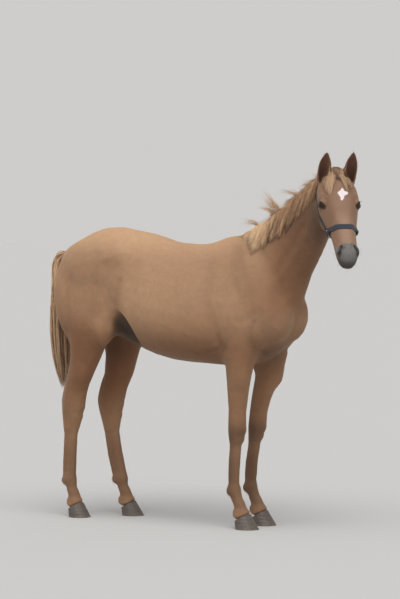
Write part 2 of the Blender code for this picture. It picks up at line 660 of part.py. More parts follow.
def ear(side):
    """A leaf rolled into a cup that opens to the front."""
    root = head_point(0.038, side * 0.066, -0.060)
    axis = (Vector((0, 0, 1)) * math.cos(EAR_LEAN) + FORWARD * math.sin(EAR_LEAN) - HEAD_LEFT * side * EAR_IN[side]).normalized()
    open_to = FORWARD + HEAD_LEFT * side * EAR_TURN_OUT[side]
    open_to = (open_to - axis * open_to.dot(axis)).normalized()
    across = axis.cross(open_to)
    rings = []
    for i in range(EAR_STEPS + 1):
        t = i / EAR_STEPS
        half = EAR_HALF_WIDTH * smooth([(0, 0.78), (0.25, 0.96), (0.45, 1.0), (0.70, 0.80), (0.90, 0.40), (1, 0.14)], t)
        deep = EAR_HALF_WIDTH * smooth([(0, 0.85), (0.3, 0.85), (0.6, 0.62), (0.85, 0.36), (1, 0.14)], t)
        spread = math.radians(smooth([(0, 160), (0.25, 138), (0.5, 116), (1, 98)], t))
        wall = min(EAR_WALL, half * 0.6)
        bend = -0.010 * math.sin(math.pi * t)
        centre = root + axis * EAR_LENGTH * t + open_to * bend
        angles = [-spread + 2 * spread * k / (EAR_POINTS - 1) for k in range(EAR_POINTS)]
        outer = [centre + across * half * math.sin(a) - open_to * deep * math.cos(a) for a in angles]
        inner = [centre + across * (half - wall) * math.sin(a) - open_to * (deep - wall) * math.cos(a) for a in angles]
        rings.append(outer + inner[::-1])
    return loft("ear", rings)


def eyeball(side, name):
    down, left, off = EYE_PLACE
    bm = bmesh.new()
    bmesh.ops.create_icosphere(bm, subdivisions=3, radius=EYE_RADIUS,
                               matrix=Matrix.Translation(head_point(down, side * left, off)))
    return add_mesh(name, bm)


HOOF_SIZES = {"fore": (0.064, 0.058), "hind": (0.063, 0.054)}      # half-length and half-width at the floor
HOOF_POINTS = 20
HOOF_AHEAD, HOOF_RAKE = 0.026, 0.038      # how far the sole lies in front of the coronet, and the wall slopes back
HOOF_SHRINK = 0.80          # how much smaller the coronet is
CORONET_HIGH, CORONET_LOW = 0.076, 0.036


def hoof(line, side, kind, name):
    """A hoof with its flat sole on the floor and a sloping top. Also gives the plane of that top."""
    ahead, out = leg_axes(side, kind)
    toe = coronet(line, side, kind)
    half_long, half_wide = HOOF_SIZES[kind]
    rings = []
    for level in (0.0, 0.05, 0.5, 1.0):
        size = 1 - (1 - HOOF_SHRINK) * level
        ring = []
        for k in range(HOOF_POINTS):
            a = 2 * math.pi * k / HOOF_POINTS
            forward = math.cos(a)
            reach = half_long * (forward if forward > -0.55 else -0.55 + (forward + 0.55) * 0.4)
            top = CORONET_LOW + (CORONET_HIGH - CORONET_LOW) * (reach / half_long + 0.73) / 1.73
            grow = 1.0 if level else 0.985
            place = Vector((toe.x, toe.y, 0)) + ahead * (HOOF_AHEAD - HOOF_RAKE * level * top / CORONET_HIGH)
            ring.append(place + ahead * reach * size * grow + out * half_wide * size * grow * math.sin(a)
                        + Vector((0, 0, top * level)))
        rings.append(ring)
    piece = loft(name, rings)
    top_ring = rings[-1]
    rise = (top_ring[0] - top_ring[HOOF_POINTS // 2]).normalized()
    return piece, top_ring[0], rise.cross(out * side).normalized()


# ---------------------------------------------------------------- tail, mane, forelock
TAIL_LINE = [(-0.660, 0.0, 1.338), (-0.710, 0.0, 1.328), (-0.735, 0.0, 1.285), (-0.729, 0.0, 1.20), (-0.722, -0.005, 1.08),
             (-0.718, -0.012, 0.94), (-0.706, -0.020, 0.82), (-0.690, -0.028, 0.72), (-0.672, -0.034, 0.635)]
TAIL_DEEP = [(0, 0.022), (1, 0.030), (2, 0.033), (3, 0.038), (4, 0.046), (5, 0.050), (6, 0.044), (7, 0.028), (8, 0.006)]
TAIL_WIDE = [(0, 0.026), (1, 0.034), (2, 0.042), (4, 0.060), (5, 0.068), (6, 0.060), (7, 0.036), (8, 0.008)]


def tail():
    rings = []
    last = len(TAIL_LINE) - 1
    for i in range(17):
        at = last * i / 16
        middle = neck_line(TAIL_LINE, at)
        onward = (neck_line(TAIL_LINE, at + 0.05) - neck_line(TAIL_LINE, at - 0.05)).normalized()
        across = Vector((0, 1, 0))
        deep = smooth(TAIL_DEEP, at)
        rings.append(oval(middle, across, onward.cross(across).normalized(), smooth(TAIL_WIDE, at), deep, deep, count=12))
    return loft("tail", rings)


MANE_FROM, MANE_TO = 1.15, 5.45          # along the crest line
MANE_THICK = 0.018
MANE_VOXEL, MANE_FACES = 0.004, 620
MANE_STEPS, MANE_POINTS = 18, 7
MANE_HANG = [(1.00, 0.040), (1.4, 0.115), (2.0, 0.145), (3.0, 0.142), (4.0, 0.135), (5.0, 0.115), (5.45, 0.085)]


def mane(surface):
    """The mane lies over the crest and down the right side of the neck."""
    rings = []
    for i in range(MANE_STEPS + 1):
        at = MANE_FROM + (MANE_TO - MANE_FROM) * i / MANE_STEPS
        crest, throat = neck_line(CREST, at), neck_line(THROAT, at)
        onward = (neck_line(CREST, at + 0.05) - neck_line(CREST, at - 0.05)).normalized()
        up = (crest - throat).normalized()
        across = up.cross(onward).normalized()
        right = across if across.y < 0 else -across
        hang = smooth(MANE_HANG, at)
        ends = 0.25 + 0.75 * math.sin(math.pi * i / MANE_STEPS) ** 0.5 if 0 < i < MANE_STEPS else 0.2
        outer, inner = [], []
        for k in range(MANE_POINTS):
            down = -0.018 + (hang + 0.018) * k / (MANE_POINTS - 1)
            if down < 0:
                out = (up * 1.0 - right * 0.9).normalized()
                middle = crest - up * 0.03 + right * down
            else:
                lean = min(1.0, down / 0.05)
                out = (up * (1 - lean) + right * (0.25 + lean)).normalized()
                middle = crest - up * max(0.03, down)
            place = surface.toward(middle, out)
            thick = MANE_THICK * ends * (1 - 0.65 * (k / (MANE_POINTS - 1)) ** 3)
            outer.append(place + out * thick)
            inner.append(place - out * 0.004)
        rings.append(outer + inner[::-1])
    made = remesh(join("mane", [loft("mane", rings)] + flying_locks()), MANE_VOXEL)
    return reduce(made, MANE_FACES, lambda place: 1.0)


def lock(name, points, wide, thick):
    """A tapering blade of hair through points."""
    rings = []
    for i in range(9):
        at = (len(points) - 1) * i / 8
        middle = neck_line(points, at)
        onward = (neck_line(points, at + 0.05) - neck_line(points, at - 0.05)).normalized()
        across = onward.cross(Vector((0, 1, 0))).normalized()
        size = 1 - 0.85 * (i / 8) ** 1.5
        rings.append(oval(middle, across, onward.cross(across), wide * size, thick * size, thick * size, count=8))
    return loft(name, rings)


FLYING_LOCKS = [
    # where each blown lock starts and ends on the crest's plane: x and z, then its half-width
    ((0.60, 1.535), (0.580, 1.600), (0.530, 1.652), 0.016),
    ((0.72, 1.612), (0.690, 1.645), (0.652, 1.662), 0.013),
    ((0.48, 1.455), (0.445, 1.482), (0.405, 1.480), 0.013),
]


def flying_locks():
    """Locks of the mane that the wind lifts off the crest."""
    made = []
    for *places, wide in FLYING_LOCKS:
        y = smooth([(key[0], key[1]) for key in CREST], places[0][0]) - 0.008
        made.append(lock("lock", [(x, y, z) for x, z in places], wide, 0.006))
    return made


def forelock():
    places = [head_point(*p) for p in ((-0.036, 0.004, -0.032), (0.012, 0.0, -0.010), (0.060, -0.006, 0.004),
                                           (0.110, -0.012, 0.009))]
    rings = []
    for i in range(9):
        at = 3 * i / 8
        size = smooth([(0, 0.7), (0.5, 1.0), (1, 0.25)], i / 8)
        rings.append(oval(neck_line(places, at), HEAD_LEFT, OFF_FACE, 0.030 * size, 0.009 * size, 0.009 * size, count=10))
    return loft("forelock", rings)


# ---------------------------------------------------------------- headcollar
STRAP_WIDTH, STRAP_THICK, STRAP_SINK = 0.029, 0.0045, 0.004
TAUT_PASSES = 10
RING_RADIUS, RING_BAR, RING_CLEAR = 0.0195, 0.0025, 0.0015
NOSEBAND_DOWN, NOSEBAND_SLOPE = 0.334, 0.034     # down the face at the sides, and how much farther in front


def noseband(surface):
    spots = []
    for k in range(28):
        a = 2 * math.pi * k / 28
        out = HEAD_LEFT * math.sin(a) + OFF_FACE * math.cos(a)
        spots.append((head_point(NOSEBAND_DOWN + NOSEBAND_SLOPE * math.cos(a), 0, -0.062), out, DOWN_FACE))
    return strap("noseband", surface, spots, STRAP_WIDTH, True)


def between(keys, count):
    last = len(keys) - 1
    return [neck_line(keys, last * i / (count - 1)) for i in range(count)]


# the strap from one ring up the cheek and behind the ears: down, left and off the face, then which way is outward there
CROWN_KEYS = [
    (0.290, -0.068, -0.098, 0.0, -1.0, -0.1),
    (0.225, -0.082, -0.124, 0.0, -1.0, -0.1),
    (0.130, -0.096, -0.136, 0.0, -1.0, 0.0),
    (0.050, -0.092, -0.116, -0.2, -1.0, 0.1),
    (-0.010, -0.066, -0.086, -0.35, -0.8, 0.5),
    (-0.040, 0.0, -0.050, -0.45, 0.0, 0.90),
]
CROWN_STEPS = 35


def crown_strap(surface):
    other_side = [(d, -l, o, out_d, -out_l, out_o) for d, l, o, out_d, out_l, out_o in CROWN_KEYS[-2::-1]]
    keys = CROWN_KEYS + other_side
    line = between([key[:3] for key in keys], CROWN_STEPS)
    outward = between([key[3:] for key in keys], CROWN_STEPS)
    line = [head_point(*place) for place in line]
    spots = []
    for i, place in enumerate(line):
        onward = (line[min(i + 1, CROWN_STEPS - 1)] - line[max(i - 1, 0)]).normalized()
        out = (DOWN_FACE * outward[i].x + HEAD_LEFT * outward[i].y + OFF_FACE * outward[i].z).normalized()
        out = (out - onward * out.dot(onward)).normalized()
        spots.append((place, out, onward.cross(out).normalized()))
    return strap("crown", surface, spots, STRAP_WIDTH, False)


def side_ring(surface, side, name):
    """The ring where the cheek strap meets the noseband. It lies along the cheek, just over the straps."""
    out = (HEAD_LEFT * side + OFF_FACE * -0.10).normalized()
    place = head_point(NOSEBAND_DOWN - 0.006, 0, -0.086)
    fore, up = DOWN_FACE, out.cross(DOWN_FACE).normalized()
    front, back, top, low = (surface.toward(place + step * RING_RADIUS, out) for step in (fore, -fore, up, -up))
    out = (front - back).cross(top - low).normalized()
    middle = (front + back + top + low) / 4
    lift = max((corner - middle).dot(out) for corner in (front, back, top, low))
    middle += out * (lift + STRAP_THICK + RING_BAR + RING_CLEAR)
    fore = (fore - out * fore.dot(out)).normalized()
    turn = Matrix((fore, out.cross(fore), out)).transposed()
    bm = bmesh.new()
    rows = []
    for k in range(16):
        a = 2 * math.pi * k / 16
        c, s = math.cos(a), math.sin(a)
        direction = Vector((c, s, 0))
        rows.append([bm.verts.new(middle + turn @ (direction * (RING_RADIUS + RING_BAR * math.cos(b))
                                                   + Vector((0, 0, RING_BAR * math.sin(b)))))
                     for b in (math.pi * n / 2.5 for n in range(5))])
    for first, second in zip(rows, rows[1:] + rows[:1]):
        for i in range(5):
            j = (i + 1) % 5
            bm.faces.new((first[i], first[j], second[j], second[i]))
    return add_mesh(name, bm)


# ---------------------------------------------------------------- assembly
FLESH_FACES = 3300
FINE_FACTOR = 0.00015    # how strongly the fine places keep their triangles
HEAD_CUT = (head_point(-0.020, 0, -0.02), (DOWN_FACE * 0.81 + OFF_FACE * 0.59).normalized())
HEAD_CUT_REACH = (0.70, 0.30, 0.12, 0.400, 0.60)   # ahead, to each side, above, below at the throat and at the lips
NECK_CUT = ((0.43, 1.47), (0.735, 1.133))       # the shoulder's cut from the withers to the chest, in x and z
FORE_CUT = 0.772                                # height of the cuts through the forelegs
HIND_CUT = ((-0.80, 1.0675), (-0.14, 0.820))    # the slanting cut through the thighs, in x and z
SIDE_WORDS = {"l": "left", "r": "right"}
PAINT = {
    # colour, roughness, metallic
    "skin": ((0.38, 0.20, 0.11), 0.75, 0.0),
    "hair": ((0.62, 0.44, 0.27), 0.70, 0.0),
    "eye": ((0.03, 0.015, 0.01), 0.08, 0.0),
    "horn": ((0.20, 0.17, 0.14), 0.55, 0.0),
    "webbing": ((0.05, 0.05, 0.08), 0.80, 0.0),
    "metal": ((0.45, 0.46, 0.42), 0.35, 1.0),
}


def paint(obj, kind):
    colour, roughness, metallic = PAINT[kind]
    material = bpy.data.materials.new(f"{obj.name}_{kind}")
    material.use_nodes = True
    shader = material.node_tree.nodes["Principled BSDF"]
    shader.inputs["Base Color"].default_value = (*colour, 1)
    shader.inputs["Roughness"].default_value = roughness
    shader.inputs["Metallic"].default_value = metallic
    obj.data.materials.clear()
    obj.data.materials.append(material)


def head_block():
    point, ahead = HEAD_CUT
    up = HEAD_LEFT.cross(ahead).normalized()
    up = up if up.z > 0 else -up
    far, wide, above, below, far_below = HEAD_CUT_REACH
    return [point + ahead * n * far + HEAD_LEFT * w * wide + up * h
            for lows in ((-below, -far_below), (above, above)) for n, w, h in
            ((0, -1, lows[0]), (1, -1, lows[1]), (1, 1, lows[1]), (0, 1, lows[0]))]


def side_block(side, x_low, x_high, floor, top):
    """A block over one leg, whose top slopes between the heights top(x)."""
    low, high = sorted((0.0, side * 0.40))
    base = [(x_low, low), (x_high, low), (x_high, high), (x_low, high)]
    return [Vector((x, y, floor)) for x, y in base] + [Vector((x, y, top(x))) for x, y in base]


def neck_block():
    """Everything ahead of the slanting cut at the shoulder."""
    (x_top, z_top), (x_low, z_low) = NECK_CUT
    slope = (x_low - x_top) / (z_low - z_top)
    floor, roof, far, wide = z_low - 0.02, 2.1, 1.7, 0.7
    back = [x_top + (z - z_top) * slope for z in (floor, roof)]
    return [Vector((x, y, z)) for z, x_back in zip((floor, roof), back)
            for x, y in ((x_back, -wide), (far, -wide), (far, wide), (x_back, wide))]


def hind_cut_height(x):
    (x0, z0), (x1, z1) = HIND_CUT
    return z0 + (z1 - z0) * (x - x0) / (x1 - x0)


trunk_piece = reduce(flesh(), FLESH_FACES, plainness)
trunk_piece.name = "trunk"
skin = Surface(trunk_piece)
whole = copy_of(trunk_piece, "whole")      # the flesh before it is parted, to fit the hair and straps to
painted = []


def keep(obj, name, kind):
    obj.name = name
    paint(obj, kind)
    painted.append(obj)
    return obj


# the headcollar
crown = carve(crown_strap(skin), whole)
keep(crown, "cheek_and_crown_strap", "webbing")
keep(carve(noseband(skin), whole), "noseband", "webbing")
for key, side in SIDES.items():
    keep(side_ring(skin, side, "ring"), f"halter_ring_{SIDE_WORDS[key]}", "metal")

# hair, ears, eyes
fringe = carve(forelock(), whole)
locks = carve(carve(mane(skin), whole), crown)
keep(carve(tail(), whole), "tail", "hair")
for key, side in SIDES.items():
    cup = carve(carve(ear(side), whole), crown)
    fringe, locks = carve(fringe, cup), carve(locks, cup)
    keep(cup, f"ear_{SIDE_WORDS[key]}", "skin")
    keep(eyeball(side, "eye"), f"eye_{SIDE_WORDS[key]}", "eye")
keep(carve(carve(fringe, crown), locks), "forelock", "hair")
keep(locks, "mane", "hair")

# the flesh, parted
head_piece = part_off(trunk_piece, "head", head_block())
keep(part_off(trunk_piece, "neck", neck_block()), "neck", "skin")
for word in SIDE_WORDS.values():
    head_piece = carve(head_piece, bpy.data.objects[f"eye_{word}"])
keep(head_piece, "head", "skin")
for kind, lines, span, top in (("fore", FORE_LINE, (0.20, 0.70), lambda x: FORE_CUT),
                               ("hind", HIND_LINE, (-0.80, -0.14), hind_cut_height)):
    for key, side in SIDES.items():
        leg = part_off(trunk_piece, "leg", side_block(side, *span, -0.1, top))
        foot, rim_point, rim_normal = hoof(lines[key], side, kind, "hoof")
        trimmed = bisect(leg, "trimmed", rim_point + rim_normal * GAP, rim_normal, True)
        bpy.data.objects.remove(leg)
        keep(trimmed, f"leg_{kind}_{SIDE_WORDS[key]}", "skin")
        keep(foot, f"hoof_{kind}_{SIDE_WORDS[key]}", "horn")
keep(trunk_piece, "trunk", "skin")
bpy.data.objects.remove(whole)

# the middle of the whole horse goes over the origin, with the soles at 0
corners = [vert.co for obj in painted for vert in obj.data.vertices]
middle = [(min(c[axis] for c in corners) + max(c[axis] for c in corners)) / 2 for axis in (0, 1)]
for obj in painted:
    obj.data.transform(Matrix.Translation((-middle[0], -middle[1], 0)))
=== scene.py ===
"""The looks of a young chestnut horse in a headcollar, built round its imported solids.

The flesh solids become one skin, with eyelids, nostrils, lips and muscle lines modelled on it.
The mane, forelock and tail are locks of hair, and small tufts break the form where the coat is longer.
Metres; +X towards the chest, +Y to the horse's left, +Z up.
"""

import math

import bmesh
import bpy
import numpy as np
from mathutils import Matrix, Vector
from mathutils.bvhtree import BVHTree


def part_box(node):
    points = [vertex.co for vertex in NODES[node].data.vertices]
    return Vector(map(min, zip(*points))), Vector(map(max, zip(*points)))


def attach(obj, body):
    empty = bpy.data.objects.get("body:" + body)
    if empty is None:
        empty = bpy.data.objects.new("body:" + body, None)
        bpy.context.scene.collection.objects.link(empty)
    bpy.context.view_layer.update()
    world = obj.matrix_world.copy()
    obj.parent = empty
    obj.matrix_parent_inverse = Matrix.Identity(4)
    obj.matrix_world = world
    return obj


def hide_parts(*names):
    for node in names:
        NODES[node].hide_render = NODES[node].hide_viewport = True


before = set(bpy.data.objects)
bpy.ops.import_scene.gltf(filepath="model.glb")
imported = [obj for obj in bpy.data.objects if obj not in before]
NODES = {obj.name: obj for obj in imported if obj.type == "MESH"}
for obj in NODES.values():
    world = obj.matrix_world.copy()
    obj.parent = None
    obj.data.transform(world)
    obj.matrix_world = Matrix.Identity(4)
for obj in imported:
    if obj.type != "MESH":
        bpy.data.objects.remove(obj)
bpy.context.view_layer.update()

SIDES = {"left": 1.0, "right": -1.0}
LEGS = [f"leg_{pair}_{side}" for pair in ("fore", "hind") for side in SIDES]
FLESH = ["head", "neck", "trunk", *LEGS]
EARS = [f"ear_{side}" for side in SIDES]
EYES = [f"eye_{side}" for side in SIDES]

# ---- places, read from the solids
UP = Vector((0, 0, 1))
TRUNK_LOW, TRUNK_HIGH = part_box("trunk")
MIDLINE = (TRUNK_LOW.y + TRUNK_HIGH.y) / 2
BREAST_REACH = 0.7361                   # from the middle of the back to the front of the breast
BODY_ZERO = TRUNK_HIGH.x - BREAST_REACH
body_zero = np.array([BODY_ZERO, MIDLINE, 0])


def node_centre(name):
    low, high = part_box(name)
    return (low + high) / 2


EYE_CENTRES = {side: node_centre(f"eye_{side}") for side in SIDES}
EYE_RADIUS = (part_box("eye_left")[1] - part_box("eye_left")[0]).z / 2

# the head's own directions, from the line through the eyes and the drop of the face
HEAD_DROP = math.radians(47)
HEAD_LEFT = (EYE_CENTRES["left"] - EYE_CENTRES["right"]).normalized()
FORWARD = HEAD_LEFT.cross(UP).normalized()
DOWN_FACE = FORWARD * math.cos(HEAD_DROP) - UP * math.sin(HEAD_DROP)
OFF_FACE = FORWARD * math.sin(HEAD_DROP) + UP * math.cos(HEAD_DROP)
EYE_DOWN, EYE_OFF = 0.188, -0.0455
POLL = (EYE_CENTRES["left"] + EYE_CENTRES["right"]) / 2 - DOWN_FACE * EYE_DOWN - OFF_FACE * EYE_OFF
HEAD_AXES = np.array([DOWN_FACE, HEAD_LEFT, OFF_FACE])


def on_head(down, left, off):
    """A place on the head: distance down the face from the poll, to its left, and off the face line."""
    return POLL + DOWN_FACE * down + HEAD_LEFT * left + OFF_FACE * off


def head_coordinates(points):
    return (points - np.array(POLL)) @ HEAD_AXES.T


# ---- number helpers
def ramp(value, low, high):
    """0 below low, 1 above high, smooth between. Works on numbers and arrays, and low may be above high."""
    t = np.clip((value - low) / (high - low), 0, 1)
    return t * t * (3 - 2 * t)


def hump(value, width):
    """1 where the value is 0, falling away on both sides."""
    return np.exp(-(value / width) ** 2)


def unit(vectors):
    return vectors / np.maximum(np.linalg.norm(vectors, axis=-1, keepdims=True), 1e-9)


def on_curve(keys, at):
    """Points on the smooth curve through the keys, at numbers that count the keys from 0."""
    keys = np.array(keys, float)
    padded = np.vstack([2 * keys[0] - keys[1], keys, 2 * keys[-1] - keys[-2]])
    at = np.clip(np.asarray(at, float), 0, len(keys) - 1.000001)
    i = at.astype(int)
    f = (at - i)[..., None]
    a, b, c, d = padded[i], padded[i + 1], padded[i + 2], padded[i + 3]
    square, cube = 2 * a - 5 * b + 4 * c - d, 3 * b - a - 3 * c + d
    return 0.5 * (2 * b + (c - a) * f + square * f**2 + cube * f**3)


def curve_points(keys, count):
    """Points evenly spaced on a smooth curve through the keys (tuples of any length)."""
    dense = on_curve(keys, np.linspace(0, len(keys) - 1, max(count * 6, 60)))
    length = np.concatenate([[0], np.cumsum(np.linalg.norm(np.diff(dense, axis=0), axis=1))])
    at = np.linspace(0, length[-1], count)
    return np.stack([np.interp(at, length, dense[:, k]) for k in range(dense.shape[1])], axis=1)


def distance_to_line(points, line):
    """Distance of each point to a polyline, and how far along it (0 to 1) the nearest place is."""
    best = np.full(len(points), np.inf)
    along = np.zeros(len(points))
    for i in range(len(line) - 1):
        start, step = line[i], line[i + 1] - line[i]
        t = np.clip(((points - start) @ step) / max(step @ step, 1e-12), 0, 1)
        gap = np.linalg.norm(points - start - t[:, None] * step, axis=1)
        nearer = gap < best
        best[nearer] = gap[nearer]
        along[nearer] = (i + t[nearer]) / (len(line) - 1)
    return best, along


# ---- mesh helpers
def new_object(name, mesh):
    made = bpy.data.objects.new(name, mesh)
    bpy.context.scene.collection.objects.link(made)
    return made


def applied(obj):
    """Turns the object's modifiers into its mesh."""
    graph = bpy.context.evaluated_depsgraph_get()
    mesh = bpy.data.meshes.new_from_object(obj.evaluated_get(graph))
    obj.modifiers.clear()
    obj.data = mesh
    return obj


def rows_of(items, name, wide, kind=np.float32):
    """What a mesh keeps for each of its points or edges, as an array with this many columns."""
    flat = np.empty(len(items) * wide, kind)
    items.foreach_get(name, flat)
    return flat.reshape(-1, wide) if wide > 1 else flat


def coordinates(mesh):
    return rows_of(mesh.vertices, "co", 3).astype(float)


def set_coordinates(mesh, points):
    mesh.vertices.foreach_set("co", points.astype(np.float32).ravel())
    mesh.update()


def normals(mesh):
    return rows_of(mesh.vertex_normals, "vector", 3).astype(float)


def smoothed(mesh, times, back=0.52):
    """The mesh's points after smoothing. Each pass inward is followed by one outward, to keep the volume."""
    points = coordinates(mesh)
    a, b = rows_of(mesh.edges, "vertices", 2, np.int32).T
    count = len(points)
    links = (np.bincount(a, minlength=count) + np.bincount(b, minlength=count))[:, None]
    for _ in range(times):
        for step in (0.5, -back):
            total = np.stack([np.bincount(a, points[b, k], count) + np.bincount(b, points[a, k], count)
                              for k in range(3)], axis=1)
            points = points + (total / links - points) * step
    return points


def band_object(name, rings, closed):
    """A smooth solid through rings of points: it closes on itself, or has a flat face at each end."""
    count, per = rings.shape[:2]
    number = np.arange(count * per).reshape(count, per)
    faces = []
    for here, after in zip(number, np.roll(number, -1, axis=0) if closed else number[1:]):
        faces += np.stack([here, np.roll(here, -1), np.roll(after, -1), after], axis=1).tolist()
    if not closed:
        faces += [number[0, ::-1].tolist(), number[-1].tolist()]
    mesh = bpy.data.meshes.new(name)
    mesh.from_pydata(rings.reshape(-1, 3).tolist(), [], faces)
    bm = bmesh.new()
    bm.from_mesh(mesh)
    bmesh.ops.recalc_face_normals(bm, faces=bm.faces)
    bm.to_mesh(mesh)
    bm.free()
    return shade_smooth(new_object(name, mesh))


def joined(name, parts, grow=0.0):
    """One object from copies of the solids, each grown a little so that they run into each other."""
    bm = bmesh.new()
    for part in parts:
        piece = bmesh.new()
        piece.from_mesh(NODES[part].data)
        bmesh.ops.remove_doubles(piece, verts=piece.verts, dist=1e-5)
        bmesh.ops.recalc_face_normals(piece, faces=piece.faces)
        piece.normal_update()
        for vert in piece.verts:
            vert.co += vert.normal * grow
        mesh = bpy.data.meshes.new("part")
        piece.to_mesh(mesh)
        piece.free()
        bm.from_mesh(mesh)
        bpy.data.meshes.remove(mesh)
    mesh = bpy.data.meshes.new(name)
    bm.to_mesh(mesh)
    bm.free()
    return new_object(name, mesh)


def remeshed(obj, voxel):
    modifier = obj.modifiers.new("remesh", "REMESH")
    modifier.mode = "VOXEL"
    modifier.voxel_size = voxel
    return applied(obj)


def tree_of(obj):
    mesh = obj.data
    return BVHTree.FromPolygons([v.co for v in mesh.vertices], [list(p.vertices) for p in mesh.polygons])


def shade_smooth(obj):
    obj.data.polygons.foreach_set("use_smooth", [True] * len(obj.data.polygons))
    return obj


def set_attribute(obj, name, values):
    kind = "FLOAT_VECTOR" if np.ndim(values) == 2 else "FLOAT"
    layer = obj.data.attributes.new(name, kind, "POINT")
    flat = np.asarray(values, np.float32).ravel()
    layer.data.foreach_set("vector" if kind == "FLOAT_VECTOR" else "value", flat)


def placed(piece, finish, slot, *nodes):
    """Gives a piece its material and the body it rides on, and hides the nodes that it stands for; the slot
    is not used.
    """
    piece.data.materials.append(finish)
    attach(piece, "root")
    if nodes:
        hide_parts(*nodes)


# ---- the skin: shape
COARSE_GRAIN, FINE_GRAIN = 0.008, 0.0036
JOIN_GROW = 0.0004             # what each solid grows by, so that neighbours run together
SKIN_SINK = 0.00075            # how far the skin lies inside the solids' faces
SKIN_TRIANGLES = 166_000       # before the eyes and nostrils get smaller ones


def skin_base():
    """The flesh solids run together: smooth at the scale of muscles, with the ears' thin walls kept."""
    smooth_body = remeshed(joined("smooth_body", FLESH + EYES, JOIN_GROW), COARSE_GRAIN)
    mesh = smooth_body.data
    set_coordinates(mesh, smoothed(mesh, 40))
    smooth_body.modifiers.new("finer", "SUBSURF").levels = 1
    applied(smooth_body)

    skin = remeshed(joined("skin", FLESH + EYES + EARS, JOIN_GROW), FINE_GRAIN)
    points = coordinates(skin.data)
    near_ear = np.zeros(len(points))
    for side in SIDES:
        low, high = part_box(f"ear_{side}")
        tree = tree_of(NODES[f"ear_{side}"])
        inside = np.all((points > np.array(low) - 0.03) & (points < np.array(high) + 0.03), axis=1)
        for i in np.flatnonzero(inside):
            near_ear[i] = max(near_ear[i], 1 - tree.find_nearest(Vector(points[i]))[3] / 0.012)
    near_ear = ramp(near_ear, 0.0, 1.0)
    group = skin.vertex_groups.new(name="settle")
    for i, keep in enumerate(1 - near_ear):
        if keep > 0:
            group.add((i,), float(keep), "REPLACE")
    wrap = skin.modifiers.new("settle", "SHRINKWRAP")
    wrap.target = smooth_body
    wrap.vertex_group = group.name
    applied(skin)
    bpy.data.objects.remove(smooth_body)
    set_coordinates(skin.data, smoothed(skin.data, 10))
    return skin


skin = skin_base()

# ---- the skin: where it keeps small triangles
NOSTRIL_DOWN, NOSTRIL_OFF = 0.506, -0.014


def eye_gap(points):
    """Distance to the nearer eye's centre."""
    return np.min([np.linalg.norm(points - np.array(centre), axis=1) for centre in EYE_CENTRES.values()],
                  axis=0)


def on_head_weight(points):
    """1 on the head, 0 on the neck, with a soft border behind the jaw and the poll."""
    down, _, off = head_coordinates(points).T
    ahead = points[:, 0] - BODY_ZERO > 0.80
    return ramp(down + 0.75 * off, -0.10, -0.04) * ramp(points[:, 2], 1.22, 1.26) * ahead


def ear_weight(points):
    """1 on the ears."""
    down, left, off = head_coordinates(points).T
    return ramp(0.55 * off - 0.85 * down, -0.062, -0.044) * ramp(np.abs(left), 0.040, 0.048)


def thinned(obj):
    """The skin with large triangles on the body and small ones where there is detail."""
    points = coordinates(obj.data)
    down = head_coordinates(points)[:, 0]
    headed = on_head_weight(points)
    detail = np.maximum(ramp(eye_gap(points), 0.055, 0.035), ramp(down, 0.43, 0.46) * headed)
    free = 1 - np.maximum(np.maximum(headed * 0.10, detail * 0.75), ear_weight(points) * 0.5)
    group = obj.vertex_groups.new(name="free")
    for i, weight in enumerate(free):
        group.add((i,), float(weight), "REPLACE")
    fewer = obj.modifiers.new("fewer", "DECIMATE")
    fewer.ratio = SKIN_TRIANGLES / (2 * len(obj.data.polygons))
    fewer.vertex_group = group.name
    fewer.vertex_group_factor = 1.0
    applied(obj)
    obj.vertex_groups.clear()
    return obj


def refined(obj, spots):
    """Splits the edges that lie within reach of each spot, given as a place and a reach."""
    bm = bmesh.new()
    bm.from_mesh(obj.data)
    for centre, reach in spots:
        chosen = [e for e in bm.edges if all((v.co - centre).length < reach for v in e.verts)]
        bmesh.ops.subdivide_edges(bm, edges=chosen, cuts=1, smooth=0.0)
        bmesh.ops.triangulate(bm, faces=[f for f in bm.faces if len(f.verts) > 3])
    bm.to_mesh(obj.data)
    bm.free()
    return obj


thinned(skin)
DETAIL_SPOTS = [(centre, reach) for centre in EYE_CENTRES.values() for reach in (0.034, 0.027)]
DETAIL_SPOTS += [(on_head(NOSTRIL_DOWN, sign * 0.038, NOSTRIL_OFF), reach)
                 for sign in SIDES.values() for reach in (0.034, 0.026)]
refined(skin, DETAIL_SPOTS)


# ---- the skin: the face
LID_THICK = 0.0028
EYE_OPEN = 0.86                # half the length of the eye's opening, in eye radii
EYE_SLANT = math.radians(26)


def eye_axes(sign):
    """The way an eye looks, the way to its nose corner, and the way to its upper lid."""
    out = (HEAD_LEFT * (0.84 * sign) + FORWARD * 0.54).normalized()
    long = FORWARD * math.cos(EYE_SLANT) - UP * math.sin(EYE_SLANT)
    long = (long - out * long.dot(out)).normalized()
    high = out.cross(long)
    return np.array(out), np.array(long), np.array(high if high.z > 0 else -high)


def lids(at):
    """The upper and lower edge of the eye's opening, in eye radii, at a place between its corners."""
    reach = np.clip(1 - ((at - 0.05) / EYE_OPEN) ** 2, 0, 1)
    upper = 0.58 * reach ** 0.62 * (1 + 0.22 * at) - 0.05 * at
    lower = -0.47 * reach ** 0.85 - 0.10 * np.clip(at, 0, 1)
    return upper, lower


